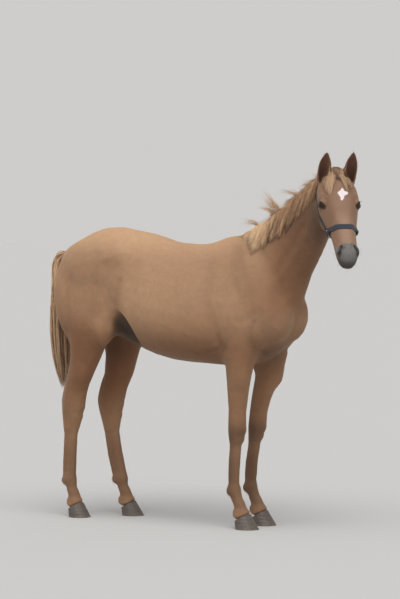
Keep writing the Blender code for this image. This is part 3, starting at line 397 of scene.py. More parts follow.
def shape_eyes(points):
    """Lids that lie on the eyeball, open in an almond, with a soft fold above and below."""
    for side, sign in SIDES.items():
        out, long, high = eye_axes(sign)
        centre = np.array(EYE_CENTRES[side])
        arm = points - centre
        far = np.linalg.norm(arm, axis=1)
        near = np.flatnonzero((far < 0.060) & (arm @ out > 0.0))
        arm, far = arm[near], far[near]
        toward = arm / far[:, None]
        a, b = toward @ long, toward @ high
        upper, lower = lids(a)
        inside = np.minimum(upper - b, b - lower)
        in_reach = 1 - np.abs((a - 0.05) / EYE_OPEN)
        inside = np.where(in_reach > 0, np.minimum(inside, in_reach), -np.hypot(np.minimum(in_reach, 0), b))
        lid = EYE_RADIUS + LID_THICK
        fall = ramp(-inside, 0.10, 0.75)
        shaped = lid * (1 - fall) + np.maximum(far, lid) * fall
        crease = b - upper
        middle = ramp(np.abs(a), 0.85, 0.35)
        shaped += 0.0024 * hump(crease - 0.22, 0.15) * middle
        shaped -= 0.0014 * hump(crease - 0.48, 0.14) * middle
        below = lower - b
        shaped += 0.0014 * hump(below - 0.18, 0.14) * middle
        shaped -= 0.0010 * hump(below - 0.46, 0.14) * middle
        opening = ramp(inside, -0.01, 0.07)
        shaped = shaped * (1 - opening) + (EYE_RADIUS - 0.0045) * opening
        soft = ramp(far, 0.052, 0.036)
        points[near] = centre + toward * (far + (shaped - far) * soft)[:, None]
    return points


def nostril_way(sign):
    """The way into a nostril."""
    return (-HEAD_LEFT * (0.70 * sign) - OFF_FACE * 0.34 - DOWN_FACE * 0.62).normalized()


def shape_nostrils(points, skin_normals):
    """Comma-shaped nostrils that run up into the nose, with a raised rim."""
    for sign in SIDES.values():
        start = np.array(on_head(0.484, sign * 0.029, -0.010))
        end = np.array(on_head(0.525, sign * 0.045, -0.028))
        middle = np.array(on_head(NOSTRIL_DOWN, sign * 0.043, NOSTRIL_OFF))
        line = curve_points([start, middle, end], 14)
        gap, along = distance_to_line(points, line)
        width = 0.0052 + 0.0055 * np.sin(np.pi * along ** 0.75)
        inside = 1 - gap / width
        inward = np.array(nostril_way(sign))
        deep = ramp(inside, -0.05, 0.85) * 0.026
        rim = 0.0034 * hump((gap - width * 1.35) / width, 0.42) * (0.45 + 0.55 * along)
        dent = -0.0030 * hump((gap - width * 2.5) / width, 0.6) * ramp(along, 0.2, 0.0)
        points = points + inward * deep[:, None] + skin_normals * (rim + dent)[:, None]
    return points


# Each vein of the face: its points as distance down and off the face, and how far it stands up.
VEINS = [
    ([(0.26, -0.075), (0.33, -0.055), (0.40, -0.050), (0.455, -0.032)], 0.0013),
    ([(0.33, -0.056), (0.37, -0.085), (0.41, -0.098)], 0.0011),
    ([(0.40, -0.050), (0.44, -0.068), (0.47, -0.066)], 0.0009),
]
MOUTH = [(0.474, -0.082), (0.500, -0.0835), (0.525, -0.081), (0.545, -0.0785), (0.590, -0.078)]
CHEEK_CREST = np.array([(0.225, -0.088), (0.30, -0.080), (0.365, -0.072)])
CHEEK_EDGE = [(0.225, -0.105), (0.26, -0.150), (0.245, -0.205)]


def face_relief(on_face):
    """How far the face rises and sinks: bone ridges, hollows, veins, lips and the lines between them."""
    down, left, off = on_face.T
    side = np.abs(left)
    flat = np.stack([down, off], 1)
    rise = np.zeros(len(down))
    # the ridge along the cheek, and the hollow above each eye
    crest, along = distance_to_line(flat, CHEEK_CREST)
    rise += 0.0042 * hump(crest, 0.0075) * ramp(side, 0.035, 0.055) * ramp(along, 1.0, 0.7)
    rise -= 0.0038 * hump(down - 0.128, 0.024) * hump(off + 0.030, 0.020) * ramp(side, 0.045, 0.060)
    # the nose bone's edges and the soft hollow between nose and cheek
    nose = ramp(off, -0.040, -0.020) * ramp(down, 0.24, 0.30) * ramp(down, 0.46, 0.42)
    rise += 0.0020 * hump(side - 0.036, 0.010) * nose
    rise -= 0.0026 * hump(down - 0.400, 0.050) * hump(off + 0.048, 0.018) * ramp(side, 0.02, 0.035)
    # veins down the cheek and over the nose
    for vein, size in VEINS:
        gap, _ = distance_to_line(flat, curve_points(vein, 16))
        rise += size * hump(gap, 0.0034) * ramp(side, 0.015, 0.028)
    # the jaw muscle's edge
    gap, _ = distance_to_line(flat, curve_points(CHEEK_EDGE, 12))
    rise -= 0.0018 * hump(gap, 0.012) * ramp(side, 0.02, 0.04)
    # the mouth line between full lips, and its corner
    gap, _ = distance_to_line(flat, curve_points(MOUTH, 24))
    in_mouth = ramp(down, 0.470, 0.482)
    cheek = ramp(side, 0.02, 0.03)
    rise -= 0.0068 * hump(gap, 0.0021) * in_mouth
    rise += 0.0016 * hump(gap - 0.0075, 0.0045) * in_mouth
    rise += 0.0016 * hump(down - 0.474, 0.007) * hump(off + 0.088, 0.016) * cheek
    rise -= 0.0016 * hump(down - 0.463, 0.004) * hump(off + 0.090, 0.014) * cheek
    # the groove of the upper lip, the folds behind the mouth and the chin
    rise -= 0.0030 * hump(side, 0.0035) * ramp(down, 0.530, 0.545) * ramp(off, -0.075, -0.060)
    for fold in range(3):
        place_of_fold = down - 0.452 + fold * 0.011 + off * 0.25 + 0.02
        rise -= 0.0007 * hump(place_of_fold, 0.0016) * ramp(off, -0.055, -0.075) * ramp(side, 0.018, 0.03)
    rise += 0.0012 * hump(down - 0.505, 0.012) * hump(off + 0.112, 0.012)
    return rise


# ---- the skin: the body
# Each line of the body: its points as x and z, how far it sinks (below 0) or rises, and half its width.
SIDE_LINES = [
    # the front edge of the shoulder, the shoulder blade's spine and the hollow behind them
    ([(0.40, 1.40), (0.46, 1.31), (0.52, 1.20), (0.575, 1.12)], -0.0035, 0.022),
    ([(0.32, 1.40), (0.37, 1.28), (0.42, 1.17), (0.50, 1.08)], 0.0030, 0.030),
    ([(0.28, 1.34), (0.30, 1.22), (0.315, 1.10), (0.355, 0.98), (0.385, 0.92)], -0.0050, 0.026),
    # under the point of the shoulder, and between arm and breast
    ([(0.62, 1.09), (0.575, 1.055), (0.52, 1.03), (0.455, 1.01)], -0.0045, 0.018),
    ([(0.585, 1.04), (0.560, 0.98), (0.556, 0.92), (0.570, 0.85)], -0.0080, 0.015),
    # the muscle behind the arm, the hollow above the elbow and the one between elbow and ribs
    ([(0.44, 1.08), (0.405, 0.99), (0.395, 0.915)], 0.0060, 0.022),
    ([(0.385, 0.910), (0.41, 0.885), (0.46, 0.872), (0.51, 0.890)], -0.0050, 0.012),
    ([(0.365, 0.960), (0.372, 0.90), (0.385, 0.86)], -0.0070, 0.012),
    # the vein low on the chest, and the hollow under it
    ([(0.225, 0.868), (0.29, 0.878), (0.345, 0.896), (0.375, 0.912)], 0.0042, 0.0075),
    ([(0.215, 0.852), (0.29, 0.862), (0.350, 0.880)], -0.0035, 0.010),
    # the flank's fold and the rise in front of it
    ([(-0.190, 1.235), (-0.212, 1.16), (-0.235, 1.08), (-0.250, 1.02)], -0.0060, 0.024),
    ([(-0.140, 1.20), (-0.155, 1.11), (-0.170, 1.03)], 0.0024, 0.030),
    # the stifle and the point of the hip
    ([(-0.320, 1.05), (-0.300, 0.985), (-0.270, 0.930), (-0.262, 0.88)], 0.0075, 0.022),
    ([(-0.36, 1.40), (-0.325, 1.345), (-0.27, 1.30)], 0.0050, 0.024),
    # the front, the back and the lower edge of the thigh
    ([(-0.33, 1.30), (-0.36, 1.20), (-0.36, 1.09), (-0.335, 0.99)], -0.0032, 0.030),
    ([(-0.49, 1.27), (-0.535, 1.15), (-0.52, 1.02), (-0.47, 0.90), (-0.43, 0.82)], -0.0042, 0.017),
    ([(-0.38, 0.97), (-0.35, 0.90), (-0.345, 0.83)], -0.0030, 0.016),
    # the groove along the neck and the muscle below it, then the two under the crest
    ([(0.63, 1.22), (0.70, 1.33), (0.775, 1.44), (0.845, 1.52)], -0.0048, 0.016),
    ([(0.66, 1.20), (0.735, 1.31), (0.81, 1.42), (0.865, 1.50)], 0.0035, 0.014),
    ([(0.47, 1.36), (0.58, 1.43), (0.68, 1.52), (0.78, 1.61)], -0.0028, 0.022),
    ([(0.50, 1.25), (0.60, 1.33), (0.70, 1.43), (0.80, 1.53)], 0.0022, 0.030),
]
RIB_FROM, RIB_TO, RIB_STEP = -0.09, 0.24, 0.047


def body_relief(body):
    """How far the body's sides rise and sink with the muscles, folds, ribs and bones under the skin."""
    x, y, z = body.T
    rise = np.zeros(len(x))
    flat = np.stack([x, z], 1)
    for line, height, width in SIDE_LINES:
        gap, along = distance_to_line(flat, curve_points(line, 18))
        rise += height * hump(gap, width) * ramp(along, 0.0, 0.15) * ramp(along, 1.0, 0.85)
    rise *= ramp(np.abs(y), 0.030, 0.075)
    lean = x + (z - 1.10) * 0.22
    ribs = np.cos((lean - RIB_FROM) / RIB_STEP * 2 * np.pi)
    ribs *= ramp(lean, RIB_FROM - 0.02, RIB_FROM + 0.05) * ramp(lean, RIB_TO + 0.02, RIB_TO - 0.05)
    rise += 0.0010 * ribs * ramp(z, 0.90, 1.00) * ramp(z, 1.30, 1.18) * ramp(np.abs(y), 0.10, 0.15)
    # folds of the throat, the breast's middle groove and the spine's faint channel
    fold = np.sin((x * 0.62 + z * 0.78) * 2 * np.pi / 0.052)
    rise += 0.0010 * fold * hump(x - 0.80, 0.08) * ramp(z, 1.56, 1.48) * ramp(z, 1.22, 1.34)
    rise -= 0.0075 * hump(y + 0.004, 0.014) * ramp(x, 0.66, 0.70) * ramp(z, 0.86, 0.92) * ramp(z, 1.12, 1.05)
    rise -= 0.0030 * hump(y, 0.012) * ramp(x, -0.40, -0.50) * ramp(z, 1.30, 1.36)
    return rise


def leg_relief(points):
    """The tendons and joints of the legs, from each leg's own middle."""
    rise = np.zeros(len(points))
    for leg in LEGS:
        low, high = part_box(leg)
        own = np.all((points > np.array(low) - 0.01) & (points < np.array(high) + 0.01), axis=1)
        z = points[own, 2]
        level = np.round(z / 0.02).astype(int)
        middle = {k: points[own][level == k].mean(axis=0) for k in np.unique(level)}
        centre = np.array([middle[k] for k in level])
        arm = points[own] - centre
        turn = np.arctan2(np.abs(arm[:, 1]), arm[:, 0])
        shape = np.zeros(len(z))
        cannon = ramp(z, 0.20, 0.25) * ramp(z, 0.46, 0.40)
        for height, bearing, wide in ((-0.0032, 1.95, 0.30), (0.0022, 2.70, 0.30), (-0.0016, 2.30, 0.12)):
            shape += height * hump(turn - bearing, wide) * cannon
        joint = 0.455 if "fore" in leg else 0.53
        shape += 0.0026 * hump(z - joint - 0.028, 0.014) * hump(turn, 0.9)
        shape += 0.0026 * hump(z - joint + 0.022, 0.014) * hump(turn, 0.9)
        shape -= 0.0024 * hump(z - joint, 0.010) * hump(turn, 1.1)
        shape += 0.0020 * hump(z - 0.185, 0.020) * hump(turn - 1.5, 0.5)
        shape -= 0.0018 * hump(z - 0.150, 0.012)
        shape += 0.0030 * hump(z - 0.088, 0.008)
        rise[own] += shape * ramp(points[own, 2], 0.90, 0.70)
    return rise


points = smoothed(skin.data, 4)
set_coordinates(skin.data, points)
skin_normals = normals(skin.data)
headed = on_head_weight(points)
on_face = head_coordinates(points)
body = points - body_zero
rise = face_relief(on_face) * headed + (body_relief(body) + leg_relief(points)) * (1 - headed)
points = points + skin_normals * (rise - SKIN_SINK)[:, None]
points = shape_nostrils(points, skin_normals * headed[:, None])
points = shape_eyes(points)
set_coordinates(skin.data, points)

# ---- hair: how a lock is made
PATCH = 0.003                  # how much of the texture each lock takes
LOCK_RINGS = 8
rng = np.random.default_rng(11)


def locks_object(name, paths, outs, widths, roots, tones, flatness=0.45):
    """Tapering three-sided locks. paths and outs are (lock, ring, 3), and each lock has its own width, root
    on the texture and tone."""
    count, rings = paths.shape[:2]
    t = np.linspace(0, 1, rings)
    along = unit(np.gradient(paths, axis=1))
    side = unit(np.cross(along, outs))
    outs = unit(np.cross(side, along))
    wide = widths[:, None] * (0.55 + 0.45 * ramp(t, 0, 0.25)) * (1 - t ** 2.4)
    wide = wide[..., None]
    rim = np.stack([paths - side * wide, paths + side * wide, paths + outs * wide * flatness * 2], axis=2)
    verts = np.concatenate([rim[:, :-1].reshape(count, -1, 3), paths[:, -1:]], axis=1)
    per = verts.shape[1]
    shape = [(0, 2, 1)]
    for k in range(rings - 2):
        a = k * 3
        for m in range(3):
            n = (m + 1) % 3
            shape += [(a + m, a + n, a + 3 + n), (a + m, a + 3 + n, a + 3 + m)]
    last = (rings - 2) * 3
    shape += [(last + m, last + (m + 1) % 3, per - 1) for m in range(3)]
    shape = np.array(shape)
    faces = (shape[None] + np.arange(count)[:, None, None] * per).reshape(-1, 3)
    mesh = bpy.data.meshes.new(name)
    for items, size, key, values in (
            (mesh.vertices, count * per, "co", verts.astype(np.float32).ravel()),
            (mesh.loops, faces.size, "vertex_index", faces.astype(np.int32).ravel()),
            (mesh.polygons, len(faces), "loop_start", np.arange(0, faces.size, 3, dtype=np.int32))):
        items.add(size)
        items.foreach_set(key, values)
    mesh.update(calc_edges=True)
    mesh.polygons.foreach_set("use_smooth", np.ones(len(faces), bool))
    # each lock's patch of the texture lies at its root's place
    ring_at = np.append(np.repeat(t[:-1], 3), 1.0)
    cross_at = np.append(np.tile([0.0, 1.0, 0.5], rings - 1), 0.5)
    u = roots[:, :1] + PATCH * cross_at[None]
    v = roots[:, 1:] + PATCH * ring_at[None]
    flat = np.stack([u, v], axis=2).reshape(-1, 2)
    layer = mesh.uv_layers.new(name="OFBake")
    layer.data.foreach_set("uv", flat[faces.ravel()].astype(np.float32).ravel())
    made = new_object(name, mesh)
    set_attribute(made, "tone", np.repeat(tones, per))
    set_attribute(made, "along", np.tile(ring_at, count))
    return made


def clumped(values, clumps, pull, t):
    """Paths that start at each lock's own value and gather on its clump's value towards the tip."""
    return values[:, None] + (clumps - values)[:, None] * pull * t[None] ** 1.3


def grid_sample(grid, first, second):
    """Reads a grid of points at fractional places, smooth between them."""
    n, m = grid.shape[:2]
    first, second = np.clip(first, 0, n - 1.001), np.clip(second, 0, m - 1.001)
    i, j = first.astype(int), second.astype(int)
    a, b = (first - i)[..., None], (second - j)[..., None]
    near, far = (grid[i, k] * (1 - a) + grid[i + 1, k] * a for k in (j, j + 1))
    return near * (1 - b) + far * b


def grid_number(values, ends, count):
    """Where values between the two ends fall in a grid with this many rows, counted from 0."""
    return (values - ends[0]) / (ends[1] - ends[0]) * (count - 1)


# ---- the mane
# the neck's upper and lower lines on the body, from the withers to the poll
CREST = [(0.28, 0, 1.36), (0.42, 0, 1.444), (0.54, 0.0, 1.506), (0.66, -0.010, 1.580), (0.77, -0.030, 1.654),
         (0.87, -0.058, 1.712), (0.95, -0.085, 1.738)]
THROAT = [(0.50, 0, 0.90), (0.66, 0, 1.00), (0.738, 0.0, 1.13), (0.776, -0.002, 1.225),
          (0.832, -0.014, 1.315), (0.880, -0.034, 1.395), (0.922, -0.060, 1.470)]
# the mane's ends and how far its hair hangs, by numbers that count the crest's points
MANE_FROM, MANE_TO = 1.15, 5.78
MANE_HANG = [(1.15, 0.012), (1.6, 0.072), (2.1, 0.140), (3.0, 0.140), (4.0, 0.130), (5.0, 0.125),
             (5.9, 0.118)]
MANE_LOCKS, MANE_CLUMPS = 4600, 110
# the grid of places that the mane lies on: its ends along and down from the crest, and its rows each way
GRID_ALONG, GRID_DOWN = (MANE_FROM - 0.5, 6.0), (-0.020, 0.190)
ROWS_ALONG, ROWS_DOWN = 50, 24


def tree_without_ears(obj):
    """The skin to look up places on, without its ears, so that hair and straps don't land on them."""
    mesh = obj.data
    points = coordinates(mesh)
    eared = ear_weight(points) > 0.5
    eared &= points[:, 2] > POLL.z - 0.03
    faces = [list(p.vertices) for p in mesh.polygons if not eared[p.vertices[0]]]
    return BVHTree.FromPolygons([v.co for v in mesh.vertices], faces)


skin_tree = tree_without_ears(skin)


def mane_grid():
    """Places on the neck's right side: along the crest, then down from it, with the way out of the skin."""
    spots, ways = [], []
    for at in np.linspace(*GRID_ALONG, ROWS_ALONG):
        crest, throat = (Vector(on_curve(keys, at) + body_zero) for keys in (CREST, THROAT))
        onward = Vector(on_curve(CREST, at + 0.05) - on_curve(CREST, at - 0.05)).normalized()
        up = (crest - throat).normalized()
        right = up.cross(onward).normalized()
        right = right if right.y < 0 else -right
        row, way = [], []
        for down in np.linspace(*GRID_DOWN, ROWS_DOWN):
            if down < 0:
                out = (up - right * 0.9).normalized()
                start = crest - up * 0.03 + right * down
            else:
                lean = min(1.0, down / 0.05)
                out = (up * (1 - lean) + right * (0.25 + lean)).normalized()
                start = crest - up * max(0.03, down)
            hit = skin_tree.ray_cast(start, out)
            row.append(np.array(hit[0] if hit[0] else start + out * 0.05))
            way.append(np.array(out))
        spots.append(row)
        ways.append(way)
    return np.array(spots), np.array(ways)


mane_spots, mane_ways = mane_grid()


def mane_place(at, down, lift):
    """A place over the neck's skin, and the way out of it there."""
    first = grid_number(at, GRID_ALONG, ROWS_ALONG)
    second = grid_number(down, GRID_DOWN, ROWS_DOWN)
    spot, way = grid_sample(mane_spots, first, second), unit(grid_sample(mane_ways, first, second))
    return spot + way * lift[..., None], way


def mane_patch(at):
    """Where a root this far along the crest lies on the texture."""
    return (at - MANE_FROM) / (MANE_TO - MANE_FROM) * 0.9 + 0.04


def lying_mane():
    t = np.linspace(0, 1, LOCK_RINGS)
    start = rng.uniform(MANE_FROM, MANE_TO, MANE_LOCKS)
    clump_at = np.sort(rng.uniform(MANE_FROM, MANE_TO, MANE_CLUMPS))
    clump = np.clip(np.searchsorted(clump_at, start + rng.normal(0, 0.05, MANE_LOCKS)), 0, MANE_CLUMPS - 1)
    hang_keys = np.array(MANE_HANG)
    hang = np.interp(start, hang_keys[:, 0], hang_keys[:, 1])
    hang = hang * rng.uniform(0.84, 1.08, MANE_CLUMPS)[clump] * rng.uniform(0.45, 1.08, MANE_LOCKS)
    root = rng.uniform(-0.014, 0.012, MANE_LOCKS)
    layer = rng.uniform(0, 1, MANE_LOCKS)
    sweep = (0.95 + 0.22 * rng.standard_normal(MANE_CLUMPS))[clump]
    for bare_end, full in ((1.3, 2.6), (5.9, 5.0)):
        sweep = sweep * (0.35 + 0.65 * ramp(start, bare_end, full))
    wander = 0.05 * rng.standard_normal(MANE_LOCKS)
    at = clumped(start, clump_at[clump], 0.45, t) - (sweep + wander)[:, None] * t[None] ** 1.1
    waves = t[None] * rng.uniform(3, 7, (MANE_LOCKS, 1)) + rng.uniform(0, 6, (MANE_LOCKS, 1))
    at = at + 0.022 * np.sin(waves) * t[None]
    down = root[:, None] + (hang - root)[:, None] * t[None] ** 0.92
    puff = (0.003 + 0.007 * layer)[:, None] * np.sin(np.pi * t ** 0.6)[None]
    height = 0.0012 + 0.003 * layer * rng.uniform(0.3, 1, MANE_LOCKS)
    height = height + 0.0012 * rng.standard_normal(MANE_LOCKS)
    lift = puff + height[:, None] * (1 - 0.7 * t[None])
    lift[:, 0] = -0.002
    paths, ways = mane_place(at, down, lift)
    widths = rng.uniform(0.0009, 0.0019, MANE_LOCKS)
    roots = np.stack([mane_patch(start), (root + 0.014) / 0.026 * 0.5 + 0.2], axis=1)
    level = 0.80 - 0.44 * ramp(start, 1.9, 3.0)
    tones = level + 0.10 * rng.standard_normal(MANE_CLUMPS)[clump] + 0.10 * rng.standard_normal(MANE_LOCKS)
    return paths, ways, widths, roots, np.clip(tones, 0, 1)


# each blown bunch: its line as x and z from root to tip, how wide it spreads, and how many thin locks
BLOWN = [
    ([(0.618, 1.548), (0.604, 1.575), (0.570, 1.606), (0.520, 1.664)], 0.0042, 120),
    ([(0.606, 1.540), (0.590, 1.562), (0.556, 1.584), (0.520, 1.616)], 0.012, 40),
    ([(0.590, 1.530), (0.570, 1.554), (0.530, 1.570), (0.488, 1.572)], 0.009, 46),
    ([(0.735, 1.622), (0.706, 1.642), (0.668, 1.644), (0.622, 1.626)], 0.014, 34),
    ([(0.500, 1.478), (0.470, 1.498), (0.430, 1.500), (0.394, 1.486)], 0.008, 34),
]
WISPS = 24


def blown_mane():
    """Bunches that the wind lifts off the crest, and loose wisps that arch along it."""
    t = np.linspace(0, 1, LOCK_RINGS)
    crest = np.array(CREST)
    made = []

    def add(guide, at, wide, count):
        spread = rng.standard_normal((count, 3)) * np.array([wide * 1.3, 0.007, wide * 0.7])
        reach = rng.uniform(0.35, 1.0, count)
        stray = rng.standard_normal((count, 3)) * 0.014
        path = on_curve(guide, t[None] * reach[:, None] * (len(guide) - 1))
        along = t[None, :, None]
        path = path + spread[:, None] * (1 - 0.75 * along ** 0.8) + stray[:, None] * along ** 2
        ways = np.tile(np.array([0.0, -1.0, 0.25]), (count, LOCK_RINGS, 1))
        u = np.clip(mane_patch(at) + rng.normal(0, 0.01, count), 0.01, 0.98)
        roots = np.stack([u, rng.uniform(0.72, 0.9, count)], axis=1)
        tones = np.clip(0.62 + 0.15 * rng.standard_normal(count), 0, 1)
        made.append((path, ways, rng.uniform(0.0004, 0.0009, count), roots, tones))

    for keys, wide, count in BLOWN:
        y = np.interp(keys[0][0], crest[:, 0], crest[:, 1]) - 0.006
        guide = [(x, y - 0.004 * i, z - 0.006 * (i == 0)) for i, (x, z) in enumerate(keys)] + body_zero
        add(guide, np.interp(keys[0][0], crest[:, 0], np.arange(len(crest))), wide, count)
    for at in rng.uniform(2.2, 5.7, WISPS):
        along = at - np.linspace(0, rng.uniform(0.5, 1.15), 5)
        rise = rng.uniform(0.007, 0.022) * np.sin(np.pi * np.linspace(0.0, rng.uniform(0.65, 0.95), 5))
        guide = on_curve(CREST, along) + body_zero
        guide = guide + np.array([-0.35, 0.0, 1.0]) * (rise - 0.004)[:, None]
        guide[:, 1] += rng.uniform(-0.014, 0.006)
        add(guide, at, rng.uniform(0.004, 0.009), int(rng.integers(10, 30)))
    return [np.concatenate(parts) for parts in zip(*made)]


mane = locks_object("mane_hair", *lying_mane())
blown = locks_object("blown_mane_hair", *blown_mane())


# ---- the forelock
FORELOCK_LOCKS, FORELOCK_CLUMPS = 900, 30
FORE_DOWN, FORE_LEFT = (-0.060, 0.245), (-0.088, 0.082)
FORE_ROWS, FORE_COLUMNS = 24, 18
# for the clumps to the right of the star, over it and to the left of it: how many,
# then the least and most of how far left they hang and how long they are
FORELOCK_SHARES = [11, 12, 7]
FORELOCK_LEFTS = [(-0.074, -0.048, 0.046), (-0.052, 0.044, 0.068)]
FORELOCK_LENGTHS = [(0.110, 0.022, 0.090), (0.205, 0.065, 0.165)]


def forelock_grid():
    spots = []
    for down in np.linspace(*FORE_DOWN, FORE_ROWS):
        row = []
        for left in np.linspace(*FORE_LEFT, FORE_COLUMNS):
            hit = skin_tree.ray_cast(on_head(down, left, 0.12), -OFF_FACE)
            row.append(np.array(hit[0] if hit[0] else on_head(down, left, -0.02)))
        spots.append(row)
    return np.array(spots)


def forelock_hair():
    grid = forelock_grid()
    t = np.linspace(0, 1, LOCK_RINGS)
    count = FORELOCK_LOCKS
    start_left = rng.normal(-0.004, 0.019, count)
    start_down = rng.uniform(-0.032, 0.014, count)
    side_of = np.repeat([-1, 0, 1], FORELOCK_SHARES)
    lefts, lengths = (rng.uniform(*(np.array(ends)[:, :, None]), (3, FORELOCK_CLUMPS))
                      for ends in (FORELOCK_LEFTS, FORELOCK_LENGTHS))
    clump_left, clump_length = np.choose(side_of + 1, lefts), np.choose(side_of + 1, lengths)
    rng.integers(0, FORELOCK_CLUMPS, count)      # unused, but the draws after it depend on it
    near = np.argsort(np.argsort(start_left + rng.normal(0, 0.010, count)))
    clump = np.argsort(clump_left)[near * FORELOCK_CLUMPS // count]
    length = clump_length[clump] * rng.uniform(0.7, 1.05, count)
    left = clumped(start_left, clump_left[clump] * 1.08, 0.85, t)
    left = left + 0.004 * np.sin(4 * t[None] + rng.uniform(0, 6, (count, 1))) * t[None]
    down = start_down[:, None] + length[:, None] * t[None]
    layer = rng.uniform(0, 1, count)
    lift = 0.0012 + (0.003 + 0.009 * layer)[:, None] * np.sin(np.pi * t ** 0.7)[None]
    lift = lift + 0.004 * layer[:, None] * t[None]
    lift[:, 0] = -0.002
    first = grid_number(down, FORE_DOWN, FORE_ROWS)
    second = grid_number(left, FORE_LEFT, FORE_COLUMNS)
    paths = grid_sample(grid, first, second) + np.array(OFF_FACE) * lift[..., None]
    ways = np.tile(np.array(OFF_FACE), (count, LOCK_RINGS, 1))
    widths = rng.uniform(0.0006, 0.0013, count)
    roots = np.stack([(start_left + 0.07) / 0.14 * 0.8 + 0.1, (start_down + 0.05) / 0.07 * 0.6 + 0.1], axis=1)
    roots = np.clip(roots, 0.02, 0.97)
    tones = np.clip(0.30 + 0.25 * np.abs(side_of[clump]) + 0.15 * rng.standard_normal(FORELOCK_CLUMPS)[clump]
                    + 0.12 * rng.standard_normal(count), 0, 1)
    return paths, ways, widths, roots, tones


fringe = locks_object("forelock_hair", *forelock_hair())

# ---- the tail
# the tail's middle line on the body, and half its depth and width at each point
TAIL_LINE = [(-0.660, 0.0, 1.338), (-0.710, 0.0, 1.328), (-0.735, 0.0, 1.285), (-0.729, 0.0, 1.20),
             (-0.722, -0.005, 1.08), (-0.718, -0.012, 0.94), (-0.706, -0.020, 0.82), (-0.690, -0.028, 0.72),
             (-0.672, -0.034, 0.635)]
TAIL_DEEP = [0.016, 0.024, 0.028, 0.033, 0.040, 0.045, 0.041, 0.028, 0.012]
TAIL_WIDE = [0.020, 0.028, 0.036, 0.046, 0.056, 0.064, 0.058, 0.038, 0.016]
TAIL_LOCKS, TAIL_CLUMPS, TAIL_RINGS = 3300, 90, 11


def tail_hair():
    t = np.linspace(0, 1, TAIL_RINGS)
    count = TAIL_LOCKS
    line = np.array(TAIL_LINE) + body_zero
    clump = rng.integers(0, TAIL_CLUMPS, count)
    start = rng.uniform(0.35, 3.2, count)
    end = np.minimum(start + rng.uniform(2.2, 5.2, count), rng.uniform(6.4, 8.0, TAIL_CLUMPS)[clump])
    end = np.where(rng.uniform(0, 1, count) < 0.45, rng.uniform(5.8, 8.0, TAIL_CLUMPS)[clump], end)
    angle = rng.uniform(0, 2 * np.pi, count)
    order = np.argsort(rng.uniform(0, 2 * np.pi, TAIL_CLUMPS))
    clump_angle = np.linspace(0, 2 * np.pi, TAIL_CLUMPS, endpoint=False)[order]
    nearest = (angle / (2 * np.pi) * TAIL_CLUMPS + rng.normal(0, 1.5, count)).astype(int) % TAIL_CLUMPS
    clump = order.argsort()[nearest]
    turn = (clump_angle[clump] - angle + np.pi) % (2 * np.pi) - np.pi
    bearing = angle[:, None] + turn[:, None] * 0.8 * t[None] ** 1.2
    bearing = bearing + 0.12 * np.sin(5 * t[None] + rng.uniform(0, 6, (count, 1)))
    final = rng.uniform(0.25, 1.0, TAIL_CLUMPS)[clump] * rng.uniform(0.85, 1.1, count)
    fullness = 0.35 * np.sin(np.pi * np.clip(t * 2.2, 0, 1))
    out = 0.45 + (final - 0.45)[:, None] * ramp(t, 0, 0.5)[None] + fullness[None]
    at = start[:, None] + (end - start)[:, None] * t[None]
    middle = on_curve(line, at)
    onward = unit(on_curve(line, at + 0.05) - on_curve(line, np.maximum(at - 0.05, 0)))
    across = np.array([0.0, 1.0, 0.0])
    deep_way = unit(np.cross(onward, across))
    keys = np.arange(len(TAIL_LINE))
    deep, wide = np.interp(at, keys, TAIL_DEEP), np.interp(at, keys, TAIL_WIDE)
    offset = across * (wide * np.cos(bearing))[..., None] + deep_way * (deep * np.sin(bearing))[..., None]
    paths = middle + offset * out[..., None]
    ways = unit(offset + 1e-6)
    widths = rng.uniform(0.0012, 0.0022, count)
    roots = np.stack([angle / (2 * np.pi) * 0.92 + 0.03, start / 3.4 * 0.9 + 0.04], axis=1)
    tones = 0.64 + 0.20 * rng.standard_normal(TAIL_CLUMPS)[clump] + 0.12 * rng.standard_normal(count)
    return paths, ways, widths, roots, np.clip(tones, 0, 1)


tail = locks_object("tail_hair", *tail_hair())

